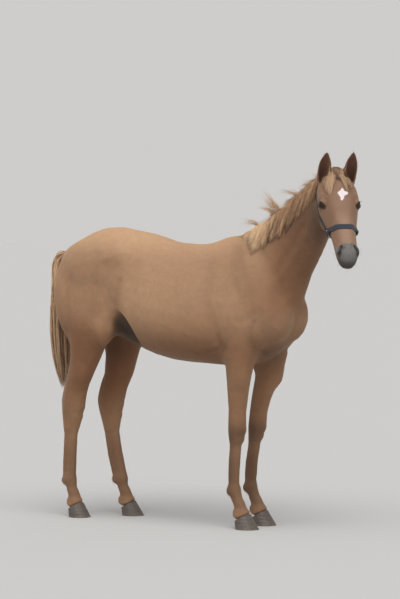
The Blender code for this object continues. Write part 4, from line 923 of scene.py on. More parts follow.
# ---- materials
class Wire:
    """A socket in a shader expression. Operators add Math nodes, and node() adds any other node."""

    def __init__(self, tree, socket=None):
        self.tree = tree
        self.socket = socket

    def node(self, kind, settings=None, sockets=None, out=0):
        """A node of this kind: settings first, then values or links for its sockets, by name or number."""
        made = self.tree.nodes.new("ShaderNode" + kind)
        for key, value in (settings or {}).items():
            if key == "stops":
                while len(made.color_ramp.elements) < len(value):
                    made.color_ramp.elements.new(0.5)
                for element, (at, colour) in zip(made.color_ramp.elements, value):
                    element.position = at
                    element.color = (*colour, 1)
            else:
                setattr(made, key, value)
        for key, value in (sockets or {}).items():
            if isinstance(value, Wire):
                self.tree.links.new(value.socket, made.inputs[key])
            else:
                made.inputs[key].default_value = value
        return Wire(self.tree, made.outputs[out])

    def maths(self, operation, *values):
        return self.node("Math", {"operation": operation}, dict(enumerate(values)))

    def __add__(self, other):
        return self.maths("ADD", self, other)

    def __sub__(self, other):
        return self.maths("SUBTRACT", self, other)

    def __rsub__(self, other):
        return self.maths("SUBTRACT", other, self)

    def __mul__(self, other):
        return self.maths("MULTIPLY", self, other)

    def __truediv__(self, other):
        return self.maths("DIVIDE", self, other)

    def __pow__(self, other):
        return self.maths("MULTIPLY", self, self) if other == 2 else self.maths("POWER", self, other)

    def __abs__(self):
        return self.maths("ABSOLUTE", self)

    def __neg__(self):
        return self.maths("MULTIPLY", self, -1)

    __radd__ = __add__
    __rmul__ = __mul__

    def step(self, low, high):
        """0 to 1 as the value goes from low to high, smooth between."""
        return self.node("MapRange", {"interpolation_type": "SMOOTHSTEP"}, {0: self, 1: low, 2: high})

    def blend(self, first, second):
        """A colour: the first where this value is 0 and the second where it is 1."""
        colours = {0: self, 6: first, 7: second}
        colours = {k: (*v, 1) if isinstance(v, tuple) and len(v) == 3 else v for k, v in colours.items()}
        return self.node("Mix", {"data_type": "RGBA"}, colours, out=2)

    def times(self, colour):
        """This colour multiplied by another."""
        if isinstance(colour, tuple):
            colour = (*colour, 1)
        settings = {"data_type": "RGBA", "blend_type": "MULTIPLY"}
        return self.node("Mix", settings, {0: 1.0, 6: self, 7: colour}, out=2)

    def scaled(self, x, y, z):
        return self.node("VectorMath", {"operation": "MULTIPLY"}, {0: self, 1: (x, y, z)})

    def noise(self, scale, detail=2.0, roughness=0.5, distortion=0.0):
        """Noise from 0 to 1 at this place."""
        sockets = {"Vector": self, "Scale": scale, "Detail": detail, "Roughness": roughness}
        return self.node("TexNoise", {}, {**sockets, "Distortion": distortion})

    def tones(self, *stops):
        """A colour that goes through the stops, each a value from 0 to 1 and a colour."""
        return self.node("ValToRGB", {"stops": stops}, {0: self})

    def ripple(self, length):
        """A sine of this value that repeats at each length."""
        return self.maths("SINE", self * (2 * math.pi / length))

    def parts(self):
        made = self.node("SeparateXYZ", {}, {0: self})
        return [Wire(self.tree, socket) for socket in made.socket.node.outputs]


def material(name, **constants):
    """A new material and the Wire that its expressions start from; constants set the shader's own sockets."""
    made = bpy.data.materials.new(name)
    made.use_nodes = True
    tree = made.node_tree
    shader = tree.nodes["Principled BSDF"]
    for key, value in constants.items():
        shader.inputs[key.replace("_", " ")].default_value = value
    return made, Wire(tree)


def feed(made, colour=None, roughness=None, bump=None, strength=1.0, depth=0.001):
    """Links what varies over the surface to the material's shader."""
    tree = made.node_tree
    shader = tree.nodes["Principled BSDF"]
    if colour is not None:
        tree.links.new(colour.socket, shader.inputs["Base Color"])
    if roughness is not None:
        tree.links.new(roughness.socket, shader.inputs["Roughness"])
    if bump is not None:
        raised = bump.node("Bump", {}, {"Strength": strength, "Distance": depth, "Height": bump})
        tree.links.new(raised.socket, shader.inputs["Normal"])
    return made


def attribute(wire, name, vector=False):
    return wire.node("Attribute", {"attribute_name": name}, out=1 if vector else 2)


def place(wire):
    """The place on the object, in metres."""
    return wire.node("TexCoord", out=3)


COAT = (0.370, 0.214, 0.122)
# the coat's deeper red, which low on the body and neck is also painted shade
COAT_RED = (0.222, 0.104, 0.050)
# painted highlight, laid on the coat where the pale mark is
COAT_PAINTED_HIGHLIGHT = (0.59, 0.365, 0.208)
# painted shade on the coat, and the darker knees, hocks and lower legs
COAT_SHADE_AND_DARK_LEGS = (0.120, 0.062, 0.034)
MUZZLE = (0.150, 0.142, 0.135)
# the lips' dark skin, also used as painted shade in the groin
LIP_AND_GROIN_SHADE = (0.042, 0.038, 0.037)
LID = (0.050, 0.030, 0.022)
EAR_DEPTH = (0.200, 0.096, 0.068)
WHITE = (0.78, 0.70, 0.70)
FACE_TINT = (0.83, 0.88, 1.03)
SHEEN_TINT = (1.0, 0.74, 0.46, 1.0)


def coat_colour(wire, spot):
    """The coat's colour from the marks that its mesh carries."""
    cloud = spot.noise(5.0, 3.0)
    fine = spot.noise(38.0, 3.0, 0.6)
    # painted highlight on the back, barrel and flank
    colour = (attribute(wire, "pale") + (cloud - 0.5) * 0.35).blend(COAT, COAT_PAINTED_HIGHLIGHT)
    # deeper red: the coat's own, and partly painted shade low on the body and neck
    colour = (attribute(wire, "red") + (cloud - 0.5) * 0.25).blend(colour, COAT_RED)
    # painted shade in hollows, creases and under the body and neck, and the darker knees, hocks and lower
    # legs
    colour = attribute(wire, "dusk").blend(colour, COAT_SHADE_AND_DARK_LEGS)
    face = attribute(wire, "on_head") * (1 - attribute(wire, "deep_ear"))
    colour = face.blend(colour, colour.times(FACE_TINT))
    colour = colour.times(fine.blend((0.86, 0.85, 0.84), (1.12, 1.12, 1.12)))
    grey = (attribute(wire, "muzzle") + (fine - 0.5) * 0.5).step(0.25, 0.75)
    colour = grey.blend(colour, MUZZLE)
    # the lips' dark skin, and painted shade in the groin
    lip = attribute(wire, "lip")
    colour = (lip + (fine - 0.5) * 0.4 * lip).blend(colour, LIP_AND_GROIN_SHADE)
    colour = attribute(wire, "lids").blend(colour, LID)
    colour = (attribute(wire, "deep_ear") * 0.85).blend(colour, EAR_DEPTH)
    return colour, fine


def head_star(wire):
    """1 on the white star of the forehead, with a hairy edge."""
    head_place = attribute(wire, "head_place", vector=True)
    down, left, off = head_place.parts()
    spread = head_place.scaled(120, 420, 120).noise(1.0, 3.0)
    across, along = left - 0.011 - (down - 0.165) * -0.15, down - 0.163
    wide = (across / 0.0245) ** 2 + ((along + 0.006) / 0.015) ** 2
    tall = ((across + 0.002) / 0.0125) ** 2 + ((along - 0.001) / 0.038) ** 2
    heart = ((across + 0.002) / 0.0175) ** 2 + (along / 0.023) ** 2
    shape = wide.maths("MINIMUM", wide, tall)
    patchy = head_place.noise(70.0, 1.0)
    shape = shape.maths("MINIMUM", shape, heart) + (spread - 0.5) * 0.95 + (patchy - 0.5) * 1.1
    return (1 - shape.step(0.85, 1.10)) * off.step(-0.05, -0.03)


def coat_material():
    made, wire = material("coat", Specular_IOR_Level=0.30, Sheen_Weight=0.18, Sheen_Roughness=0.45,
                          Sheen_Tint=SHEEN_TINT)
    spot = place(wire)
    colour, fine = coat_colour(wire, spot)
    colour = head_star(wire).blend(colour, WHITE)
    body_hair = spot.scaled(90, 700, 420).noise(1.0, 2.0, 0.6)
    leg_hair = spot.scaled(760, 760, 80).noise(1.0, 2.0, 0.6)
    head_hair = attribute(wire, "head_place", vector=True).scaled(110, 800, 800).noise(1.0, 2.0, 0.6)
    on_legs, on_head = attribute(wire, "on_legs"), attribute(wire, "on_head")
    hair = body_hair * (1 - on_legs) + leg_hair * on_legs
    hair = hair * (1 - on_head) + head_hair * on_head
    colour = colour.times(hair.blend((0.80, 0.79, 0.78), (1.18, 1.18, 1.18)))
    bald = attribute(wire, "lip").maths("MAXIMUM", attribute(wire, "lip"), attribute(wire, "lids"))
    height = hair * (1 - bald * 0.8) + fine * 0.6
    return feed(made, colour, 0.66 - bald * 0.22, height, 0.55, 0.0012)


HAIR_PALE, HAIR_MID, HAIR_DARK = (0.80, 0.56, 0.34), (0.52, 0.31, 0.165), (0.20, 0.096, 0.045)


def hair_material(name, dark_from=None, dark_to=None):
    """Flaxen hair: each lock has its own tone, and the pale ones are palest at their tips."""
    made, wire = material(name, Roughness=0.48, Specular_IOR_Level=0.45, Sheen_Weight=0.15)
    tone, along = attribute(wire, "tone"), attribute(wire, "along")
    spot = place(wire)
    strand = spot.scaled(900, 900, 140).noise(1.0, 2.0, 0.6)
    level = tone * 0.8 + along * (tone - 0.30) * 0.9 + (strand - 0.5) * 0.28
    if dark_from is not None:
        level = level - spot.parts()[2].step(dark_from, dark_to) * 0.10
    colour = level.tones((0.12, HAIR_DARK), (0.48, HAIR_MID), (0.95, HAIR_PALE))
    return feed(made, colour, 0.56 - strand * 0.15, strand, 0.4, 0.0006)


mane_finish = hair_material("mane_hair")
placed(mane, mane_finish, "long_hair", "mane")
placed(blown, mane_finish, "long_hair")
placed(fringe, mane_finish, "long_hair", "forelock")
placed(tail, hair_material("tail_hair", 1.20, 0.85), "long_hair", "tail")

# ---- the skin: colours
# the mane's lower edge on the neck, as x and z, along which its shadow is painted
MANE_SHADOW_LINE = np.array([(0.57, 1.385), (0.72, 1.49), (0.84, 1.58)])
NOSTRIL_DEPTHS = (0, 0.009, 0.018, 0.026)
MOUTH_SIDE = [(0.478, 0.047, -0.084), (0.53, 0.034, -0.081), (0.560, 0, -0.077)]


def skin_marks():
    """What the coat's colour follows: each mark is 0 to 1 over the skin's points."""
    points, out = coordinates(skin.data), normals(skin.data)
    body = points - body_zero
    x, y, z = body.T
    down, left, off = head_coordinates(points).T
    headed, eared = on_head_weight(points), ear_weight(points)
    bodied = 1 - headed
    legged = ramp(z, 0.92, 0.76)
    side = np.abs(left)
    # painted highlight: paler on the back and on lit patches of the barrel and flank; red on the neck, belly
    # and thighs
    pale = 0.80 * ramp(z, 1.28, 1.47) * ramp(x, 0.50, 0.25)
    pale += 0.35 * hump(x + 0.05, 0.18) * hump(z - 1.12, 0.14)
    pale += 0.30 * hump(x + 0.150, 0.030) * hump(z - 1.06, 0.09)
    # the red is the coat's own deeper tone, and partly painted shade on the lower body and neck
    red = 0.85 * ramp(z, 1.06, 0.84) * ramp(z, 0.40, 0.80) + 0.85 * ramp(x, 0.50, 0.70) * ramp(z, 0.98, 1.12)
    red += 0.55 * ramp(x, -0.28, -0.42) * ramp(z, 1.22, 0.95) * ramp(z, 0.60, 0.90)
    red += 0.30 * ramp(z, 0.80, 0.60) - 0.35 * hump(z - 0.70, 0.10) * (x > 0)
    # painted shade on the belly, between the legs, in the groin, low on the chest and neck, at the shoulder,
    # on the hindquarter, in the body's creases and hollows and under the mane; the knees, hocks and lower
    # legs are darker as well
    dusk = 0.65 * hump(z - 0.84, 0.07) * ramp(np.abs(y), 0.12, 0.05)
    dusk += 0.95 * hump(x + 0.225, 0.085) * hump(z - 0.955, 0.095) * ramp(np.abs(y), 0.170, 0.145)
    dusk += 0.35 * ramp(z, 0.98, 0.86) * ramp(x, -0.20, -0.10) * ramp(x, 0.45, 0.38)
    dusk += 0.55 * ramp(z, 0.48, 0.30) * ramp(z, 0.05, 0.12)
    dusk += 0.75 * hump(z - 0.47, 0.055) * (x > 0)
    dusk += 0.40 * hump(z - 0.53, 0.07) * (x < 0) * ramp(x, -0.50, -0.60)
    dusk += 0.45 * ramp(x, 0.60, 0.80) * ramp(z, 1.10, 1.25)
    dusk += 0.25 * ramp(z, 1.10, 0.85) * ramp(x, 0.50, 0.60)
    dusk += 0.15 * hump(x + 0.36, 0.10) * hump(z - 1.36, 0.08)
    dusk += 0.10 * hump(x - 0.52, 0.08) * hump(z - 1.15, 0.10)
    # painted shade in the creases and hollows of the body's relief
    dusk += 0.20 * np.clip(-body_relief(body) / 0.009, 0, 1)
    # painted shadow of the mane on the neck, along its lower edge
    mane_shadow_gap, _ = distance_to_line(np.stack([x, z], 1), MANE_SHADOW_LINE)
    dusk += 0.40 * hump(mane_shadow_gap, 0.045) * ramp(y, -0.02, -0.06)
    dusk = np.clip(dusk, 0, 1) * bodied
    face_red = 0.45 + 0.25 * hump(side - 0.06, 0.03) - 0.45 * hump(side, 0.035) * ramp(down, 0.25, 0.33)
    # painted shade on the jaw, behind the cheek and under the head
    jaw_shade = 0.75 * ramp(off, -0.10, -0.19) * ramp(down, 0.46, 0.40)
    inside_ear = eared * ramp(out @ np.array((FORWARD * 0.9 + OFF_FACE * 0.3).normalized()), 0.05, 0.45)
    muzzle = ramp(down - 0.35 * (off + 0.02), 0.446, 0.524) * headed
    lip = np.maximum(ramp(off, -0.066, -0.082) * ramp(down, 0.500, 0.525),
                     ramp(off, -0.024, -0.058) * ramp(down, 0.490, 0.530)) * headed
    start, end = (np.array(on_head(*spot)) for spot in ((0.499, 0.035, -0.015), (0.523, 0.046, -0.027)))
    for sign in SIDES.values():
        flip = np.array(HEAD_LEFT) * (sign - 1)
        line = np.array([start + flip * 0.030, end + flip * 0.046])
        inward = np.array(nostril_way(sign))
        gaps = [distance_to_line(points - inward * deep, line)[0] for deep in NOSTRIL_DEPTHS]
        around = np.min(gaps, axis=0)
        lip = np.maximum(lip, ramp(around, 0.0140, 0.0080) * headed)
        muzzle = np.maximum(muzzle, 0.85 * ramp(around, 0.034, 0.016) * headed)
        line = [on_head(down, sign * left, off) for down, left, off in MOUTH_SIDE]
        mouth, _ = distance_to_line(points, np.array(line))
        lip = np.maximum(lip, ramp(mouth, 0.012, 0.004) * headed)
    # painted shade in the groin: the shadow of the flank fold is painted with the lips' dark colour
    groin_shade = hump(x + 0.235, 0.075) * hump(z - 0.965, 0.100) * ramp(np.abs(y), 0.160, 0.120) * bodied
    lip = np.maximum(lip, 0.60 * np.clip(groin_shade * 1.5, 0, 1))
    lid_rims = np.zeros(len(points))
    for side_name, sign in SIDES.items():
        way, long, high = eye_axes(sign)
        arm = points - np.array(EYE_CENTRES[side_name])
        turned = unit(arm)
        reach = np.hypot((turned @ long - 0.06) / 1.02, (turned @ high - 0.02) / 0.72)
        near = (turned @ way > 0) * (np.linalg.norm(arm, axis=1) < 0.036)
        lid_rims = np.maximum(lid_rims, ramp(reach, 1.02, 0.84) * near)
    marks = {
        "pale": np.clip(pale, 0, 1) * bodied,
        "red": np.clip(red * bodied + face_red * headed, 0, 1),
        # painted shade under the jaw and in the ears' hollows joins it; the ears are darker all over as well
        "dusk": np.clip(dusk + jaw_shade * headed + 0.15 * inside_ear + 0.20 * eared, 0, 1),
        "muzzle": muzzle,
        "lip": np.clip(lip, 0, 1),
        "lids": lid_rims,
        "deep_ear": inside_ear,
        "on_head": headed,
        "on_legs": legged * bodied,
    }
    set_attribute(skin, "head_place", np.stack([down, left, off], axis=1))
    for name, values in marks.items():
        set_attribute(skin, name, values)


skin_marks()
coat_finish = coat_material()
placed(shade_smooth(skin), coat_finish, "coat", *FLESH, *EARS)

# ---- the eyes
IRIS_REACH, PUPIL_LONG, PUPIL_HIGH = 0.80, 0.50, 0.22        # sines of the angles that each covers


def eyeball(side):
    """An eyeball with its cornea standing a little proud of it, turned the way the eye looks."""
    out, long, high = (Vector(axis) for axis in eye_axes(SIDES[side]))
    bm = bmesh.new()
    bmesh.ops.create_uvsphere(bm, u_segments=64, v_segments=48, radius=1.0)
    eye_places = []
    for vert in bm.verts:
        along, up, away = vert.co.x, vert.co.y, vert.co.z
        cornea = 0.0016 * float(ramp(away, 0.55, 0.85))
        eye_places.append((along, up, away))
        vert.co = EYE_CENTRES[side] + (long * along + high * up + out * away) * (EYE_RADIUS + cornea)
    mesh = bpy.data.meshes.new("eyeball")
    bm.to_mesh(mesh)
    bm.free()
    made = shade_smooth(new_object(f"eyeball_{side}", mesh))
    set_attribute(made, "gaze", np.array(eye_places))
    return made


def eye_material():
    """A dark brown iris with fine rays, a wide dark pupil and a brownish white behind."""
    made, wire = material("eye", Specular_IOR_Level=0.10, Coat_Weight=0.35, Coat_Roughness=0.02)
    gaze = attribute(wire, "gaze", vector=True)
    along, up, away = gaze.parts()
    ring = (along ** 2 + up ** 2) ** 0.5
    rays = gaze.scaled(9, 9, 2).noise(1.6, 4.0, 0.7, 0.6)
    iris = (rays * 0.8 + ring * 0.35).tones((0.25, (0.012, 0.006, 0.004)), (0.55, (0.050, 0.022, 0.010)),
                                            (0.85, (0.105, 0.050, 0.022)))
    pupil = ((along / PUPIL_LONG) ** 2 + (up / PUPIL_HIGH) ** 2).step(1.15, 0.85)
    colour = pupil.blend(iris, (0.003, 0.003, 0.004))
    limbus = ring.step(IRIS_REACH - 0.10, IRIS_REACH)
    white = gaze.noise(5.0, 3.0).blend((0.10, 0.060, 0.045), (0.27, 0.20, 0.17))
    colour = (limbus + away.step(0.0, -0.1)).blend(colour, (0.006, 0.004, 0.003))
    colour = ring.step(IRIS_REACH + 0.02, IRIS_REACH + 0.12).blend(colour, white)
    return feed(made, colour, 0.10 + rays * 0.06)


eye_finish = eye_material()
for side in SIDES:
    placed(eyeball(side), eye_finish, "eye", f"eye_{side}")


# ---- the hooves
RING_STEP = 0.0068             # between the fine rings of growth


def hoof(name):
    """A hoof with rings of growth, a soft coronet and a flat sole."""
    low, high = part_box(name)
    made = remeshed(joined(name + "_horn", [name]), 0.0024)
    mesh = made.data
    on_floor = coordinates(mesh)[:, 2] < low.z + 0.0016
    points = smoothed(mesh, 14, back=0.51)
    points[:, 2] = np.where(on_floor, low.z, np.maximum(points[:, 2], low.z))
    set_coordinates(mesh, points)
    out = normals(mesh)
    z = points[:, 2] - low.z
    wall = ramp(np.abs(out[:, 2]), 0.80, 0.55) * ramp(z, 0.001, 0.006)
    level = z + 0.10 * (points[:, 0] - low.x) * 0.35
    turns = level * 2 * np.pi / RING_STEP
    rings = 0.00030 * np.sin(turns) + 0.00035 * np.sin(turns / 2.7)
    rise = rings * wall + 0.0010 * hump(z - (high.z - low.z) + 0.006, 0.005) * wall - 0.0006
    middle = (np.array(low) + np.array(high)) / 2
    frog = hump(points[:, 1] - middle[1], 0.009) * ramp(points[:, 0] - middle[0], 0.03, -0.03) * on_floor
    points = points + out * (rise * (1 - on_floor))[:, None]
    points[:, 2] = np.maximum(points[:, 2], low.z)
    set_coordinates(mesh, points)
    set_attribute(made, "height", z)
    set_attribute(made, "frog", frog)
    return shade_smooth(made)


def horn_material():
    made, wire = material("hoof_horn", Specular_IOR_Level=0.4, Coat_Weight=0.12, Coat_Roughness=0.35)
    spot = place(wire)
    streaks = spot.scaled(330, 330, 9).noise(1.0, 3.0, 0.6)
    bands = spot.scaled(14, 14, 190).noise(1.0, 2.0, 0.5)
    wear = spot.noise(60.0, 4.0, 0.65)
    colour = (streaks * 0.6 + bands * 0.4).tones((0.25, (0.050, 0.040, 0.033)), (0.50, (0.105, 0.084, 0.068)),
                                                 (0.78, (0.205, 0.165, 0.130)))
    pale = attribute(wire, "height").step(0.012, 0.0) * wear.step(0.35, 0.7)
    colour = (pale * 0.7).blend(colour, (0.26, 0.215, 0.165))
    colour = attribute(wire, "frog").blend(colour, (0.035, 0.030, 0.027))
    return feed(made, colour, 0.42 + wear * 0.28, streaks * 0.5 + bands, 0.35, 0.0008)


horn_finish = horn_material()
for pair in ("fore", "hind"):
    for side in SIDES:
        name = f"hoof_{pair}_{side}"
        placed(hoof(name), horn_finish, "hoof_horn", name)


# ---- the headcollar
STRAP_WIDTH, STRAP_THICK = 0.029, 0.0030
STRAP_GAP = 0.0006             # between the skin and the strap
# the noseband's middle on the head, how much further down the face it is in front, and its height off it
NOSEBAND_DOWN, NOSEBAND_SLOPE, NOSEBAND_INSIDE = 0.334, 0.034, -0.062
CROWN_KEYS = [
    # down, left and off of a place inside the head, then the way out of it, for the right side
    (0.309, -0.064, -0.094, 0, -1, -0.1), (0.285, -0.069, -0.100, 0, -1, -0.1),
    (0.225, -0.082, -0.124, 0, -1, -0.1), (0.130, -0.096, -0.136, 0, -1, 0),
    (0.050, -0.092, -0.116, -0.2, -1, 0.1), (-0.010, -0.066, -0.086, -0.35, -0.8, 0.5),
    (-0.040, 0, -0.050, -0.45, 0, 0.90),
]
NOSEBAND_POINTS, CROWN_POINTS = 112, 110
WEBBING_STEPS = 14             # points across a strap


def head_way(down, left, off):
    return (DOWN_FACE * down + HEAD_LEFT * left + OFF_FACE * off).normalized()


def strap_line(closed, spots):
    """The strap's middle line on the skin: each spot is a start, the way to look from it and the way out."""
    line, outs = [], []
    for start, look, way in spots:
        hit = skin_tree.ray_cast(start, look)
        line.append(np.array(hit[0] if hit[0] else start))
        outs.append(np.array(way))
    line, outs = np.array(line), np.array(outs)
    if closed:
        for _ in range(2):
            line = (np.roll(line, 1, 0) + np.roll(line, -1, 0) + 2 * line) / 4
    return line, outs


def strap_levels(line, outs, across, closed):
    """How far the skin rises or falls from the strap's middle line, at each point across it, made even."""
    levels = []
    for spot, out, side in zip(line, outs, across):
        level = []
        for s in np.linspace(-1, 1, WEBBING_STEPS + 1):
            start = Vector(spot + side * s * STRAP_WIDTH / 2)
            hit = skin_tree.ray_cast(start + Vector(out) * 0.012, -Vector(out), 0.05)
            level.append((np.array(hit[0]) - spot) @ out if hit[0] else 0.0)
        level = np.maximum(level, max(level) - 0.0045)
        levels.append(np.convolve(np.pad(level, 3, mode="edge"), np.ones(7) / 7, mode="valid"))
    levels = np.array(levels)
    for _ in range(6):
        before, after = (np.roll(levels, step, 0) for step in (1, -1))
        if not closed:
            before[0], after[-1] = levels[0], levels[-1]
        levels = np.maximum(levels, (before + after) / 2) * 0.5 + (before + after + 2 * levels) / 8
    return levels


def webbing(name, line, outs, closed, across_way=None):
    """A woven strap with rolled edges that lies on the skin all across its width."""
    ahead = unit(np.roll(line, -1, 0) - np.roll(line, 1, 0) if closed else np.gradient(line, axis=0))
    outs = unit(outs - ahead * np.sum(outs * ahead, axis=1, keepdims=True))
    across = unit(np.cross(outs, ahead))
    if across_way is not None:
        across = np.tile(np.array(across_way), (len(line), 1))
    length = np.concatenate([[0], np.cumsum(np.linalg.norm(np.diff(line, axis=0), axis=1))])
    levels = strap_levels(line, outs, across, closed)
    # the section runs over the strap's outer face and back under its inner one
    span = np.linspace(-1, 1, WEBBING_STEPS + 1)
    s = np.concatenate([span, span[::-1] * 0.985])
    up = np.concatenate([1.0 - 0.35 * np.abs(span) ** 10, np.zeros(len(span))])
    lift = np.concatenate([levels, levels[:, ::-1]], axis=1) + STRAP_GAP + up * STRAP_THICK
    half = STRAP_WIDTH / 2
    rings = line[:, None] + across[:, None] * (s * half)[:, None] + outs[:, None] * lift[..., None]
    made = band_object(name, rings, closed)
    marks = np.stack(np.broadcast_arrays(length[:, None], (s * half)[None], up[None]), axis=2)
    set_attribute(made, "weave", marks.reshape(-1, 3))
    return made


RIB_LENGTH, CORD_WIDTH, STITCH_LENGTH = 0.0016, 0.0024, 0.0050


def webbing_material():
    """Charcoal blue webbing: ribs across it, rolled edges, rows of paler stitching and rubbed hairs."""
    made, wire = material("webbing", Specular_IOR_Level=0.25, Sheen_Weight=0.08, Sheen_Roughness=0.5)
    weave = attribute(wire, "weave", vector=True)
    length, side, _ = weave.parts()
    ribs, cross = length.ripple(RIB_LENGTH), side.ripple(CORD_WIDTH)
    fuzz = weave.scaled(900, 900, 900).noise(1.0, 3.0, 0.6)
    wear = weave.scaled(40, 90, 40).noise(1.0, 3.0, 0.6)
    edge = abs(side).step(STRAP_WIDTH * 0.40, STRAP_WIDTH * 0.5)
    stitch_row = abs(abs(side) - STRAP_WIDTH * 0.34).step(0.0009, 0.0004)
    stitch = stitch_row * length.ripple(STITCH_LENGTH).step(-0.2, 0.1)
    colour = wear.blend((0.026, 0.029, 0.039), (0.050, 0.055, 0.070))
    colour = colour.times(fuzz.blend((0.75, 0.75, 0.75), (1.30, 1.30, 1.28)))
    colour = (stitch * 0.55).blend(colour, (0.115, 0.115, 0.13))
    colour = (edge * wear.step(0.45, 0.8) * 0.6).blend(colour, (0.13, 0.12, 0.12))
    height = ribs * cross * 0.5 + stitch * 0.8 + fuzz * 0.3
    return feed(made, colour, 0.78 - edge * 0.08, height, 0.5, 0.0009)


def ring_material():
    made, wire = material("ring_metal", Metallic=1.0, Specular_IOR_Level=0.5)
    spot = place(wire)
    tarnish = spot.noise(140.0, 4.0, 0.6)
    scratch = spot.scaled(900, 900, 240).noise(1.0, 2.0, 0.5)
    colour = tarnish.blend((0.30, 0.31, 0.27), (0.56, 0.56, 0.50))
    return feed(made, colour, 0.24 + tarnish * 0.28, scratch, 0.2, 0.0003)


def round_bar(name, path, radius, sides=12):
    """A round bar along a path that closes on itself."""
    ahead = unit(np.roll(path, -1, 0) - np.roll(path, 1, 0))
    first = unit(np.cross(ahead, np.cross(path[1] - path[0], path[len(path) // 3] - path[0])))
    second = np.cross(ahead, first)
    turn = np.linspace(0, 2 * np.pi, sides, endpoint=False)[None, :, None]
    rings = path[:, None] + radius * (first[:, None] * np.cos(turn) + second[:, None] * np.sin(turn))
    return band_object(name, rings, True)


def noseband_spots():
    spots = []
    for k in range(NOSEBAND_POINTS):
        turn = 2 * math.pi * k / NOSEBAND_POINTS
        start = on_head(NOSEBAND_DOWN + NOSEBAND_SLOPE * math.cos(turn), 0, NOSEBAND_INSIDE)
        way = head_way(0, math.sin(turn), math.cos(turn))
        spots.append((start, way, way))
    return spots


def crown_spots():
    keys = np.array(CROWN_KEYS)
    other = keys[::-1][1:] * np.array([1, -1, 1, 1, -1, 1])
    keys = np.concatenate([keys, other])
    spots = []
    for at in np.linspace(0, len(keys) - 1, CROWN_POINTS):
        down, left, off, *way = on_curve(keys, at)
        way = head_way(*way)
        spots.append((on_head(down, left, off) + way * 0.045, -way, way))
    return spots


def pulled_tight(line, outs):
    """The strap's line bridges hollows, as a strap under a little pull does."""
    for _ in range(24):
        pulled = line.copy()
        pulled[1:-1] = (line[:-2] + line[2:]) / 2
        gain = np.sum((pulled - line) * outs, axis=1)
        line = line + outs * np.maximum(gain, 0)[:, None] + (pulled - line - outs * gain[:, None]) * 0.5
    return line, outs


webbing_finish, ring_finish = webbing_material(), ring_material()
noseband = webbing("noseband_webbing", *strap_line(True, noseband_spots()), True, DOWN_FACE)
line, outs = pulled_tight(*strap_line(False, crown_spots()))
crown = webbing("crown_webbing", line, outs, False)
placed(noseband, webbing_finish, "webbing", "noseband")
placed(crown, webbing_finish, "webbing", "cheek_and_crown_strap")


def ring_path(side):
    """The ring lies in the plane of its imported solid."""
    mesh = NODES[f"halter_ring_{side}"].data
    spots = coordinates(mesh)
    centre = spots.mean(axis=0)
    _, _, axes = np.linalg.svd(spots - centre, full_matrices=False)
    far = np.linalg.norm(spots - centre, axis=1)
    radius = (far.max() + far.min()) / 2
    turn = np.linspace(0, 2 * np.pi, 64, endpoint=False)
    path = centre + radius * (np.outer(np.cos(turn), axes[0]) + np.outer(np.sin(turn), axes[1]))
    return path, centre, axes[2]


RING_RADIUS, RING_BAR = 0.0195, 0.0024
# the loop's outline from the strap, over the ring's bar and back: along from the bar, then out of the strap
LOOP_OUTLINE = [(0.020, -0.0036), (0.012, -0.0012), (0.006, 0.0022), (0, RING_BAR + 0.0016),
                (-0.0046, 0.0008), (-0.0050, -0.0026), (-0.0010, -0.0040), (0.010, -0.0052),
                (0.018, -0.0058), (0.0205, -0.0050)]
LOOP_STEPS, LOOP_ACROSS = 40, 9


def ring_loop(name, centre, way, out):
    """A fold of webbing round the ring's bar: it rises off the strap, goes over the bar and back under it."""
    way, out = unit(way), unit(out)
    side = np.cross(way, out)
    outline = curve_points(LOOP_OUTLINE, LOOP_STEPS)
    verts, marks, faces = [], [], []
    for u, (along, up) in enumerate(outline):
        narrow = 0.0104 - 0.0020 * ramp(0.012 - along, 0.0, 0.012)
        for s in np.linspace(-1, 1, LOOP_ACROSS):
            spot = centre + way * (RING_RADIUS + along) + out * (up - 0.0008 * s * s) + side * s * narrow
            verts.append(tuple(spot))
            marks.append((u * 0.0012, s * STRAP_WIDTH * 0.45, 1.0))
    for u in range(LOOP_STEPS - 1):
        for k in range(LOOP_ACROSS - 1):
            a = u * LOOP_ACROSS + k
            faces.append((a, a + 1, a + LOOP_ACROSS + 1, a + LOOP_ACROSS))
    mesh = bpy.data.meshes.new(name)
    mesh.from_pydata(verts, [], faces)
    made = shade_smooth(new_object(name, mesh))
    set_attribute(made, "weave", np.array(marks))
    thicker = made.modifiers.new("thicker", "SOLIDIFY")
    thicker.thickness = 0.0016
    return applied(made)


for side in SIDES:
    path, centre, normal = ring_path(side)
    outward = np.array(HEAD_LEFT) * SIDES[side]
    normal = normal if normal @ outward > 0 else -normal
    crown_end = (line[0] if side == "right" else line[-1]) - centre
    toward_nose = np.array(DOWN_FACE * NOSEBAND_SLOPE + OFF_FACE * 0.060)
    ways = {"crown": crown_end, "nose": toward_nose, "chin": -toward_nose}
    for part_name, way in ways.items():
        way = way - normal * (way @ normal)
        placed(ring_loop(f"{part_name}_loop_{side}", centre, way, normal), webbing_finish, "webbing")
    placed(round_bar(f"ring_{side}", path, RING_BAR), ring_finish, "ring_metal", f"halter_ring_{side}")

# ---- tufts where the coat breaks the form
TUFT_RINGS, TUFT_ROOT = 4, 0.0008       # rings in a tuft, and how deep it starts
MARKS = ("pale", "red", "dusk", "muzzle", "lip", "lids", "deep_ear", "on_head", "on_legs", "head_place")


def skin_triangles():
    """Each skin triangle's corners and area."""
    mesh = skin.data
    mesh.calc_loop_triangles()
    corners = rows_of(mesh.loop_triangles, "vertices", 3, np.int32)
    a, b, c = (coordinates(mesh)[corners[:, k]] for k in range(3))
    return corners, np.linalg.norm(np.cross(b - a, c - a), axis=1) / 2


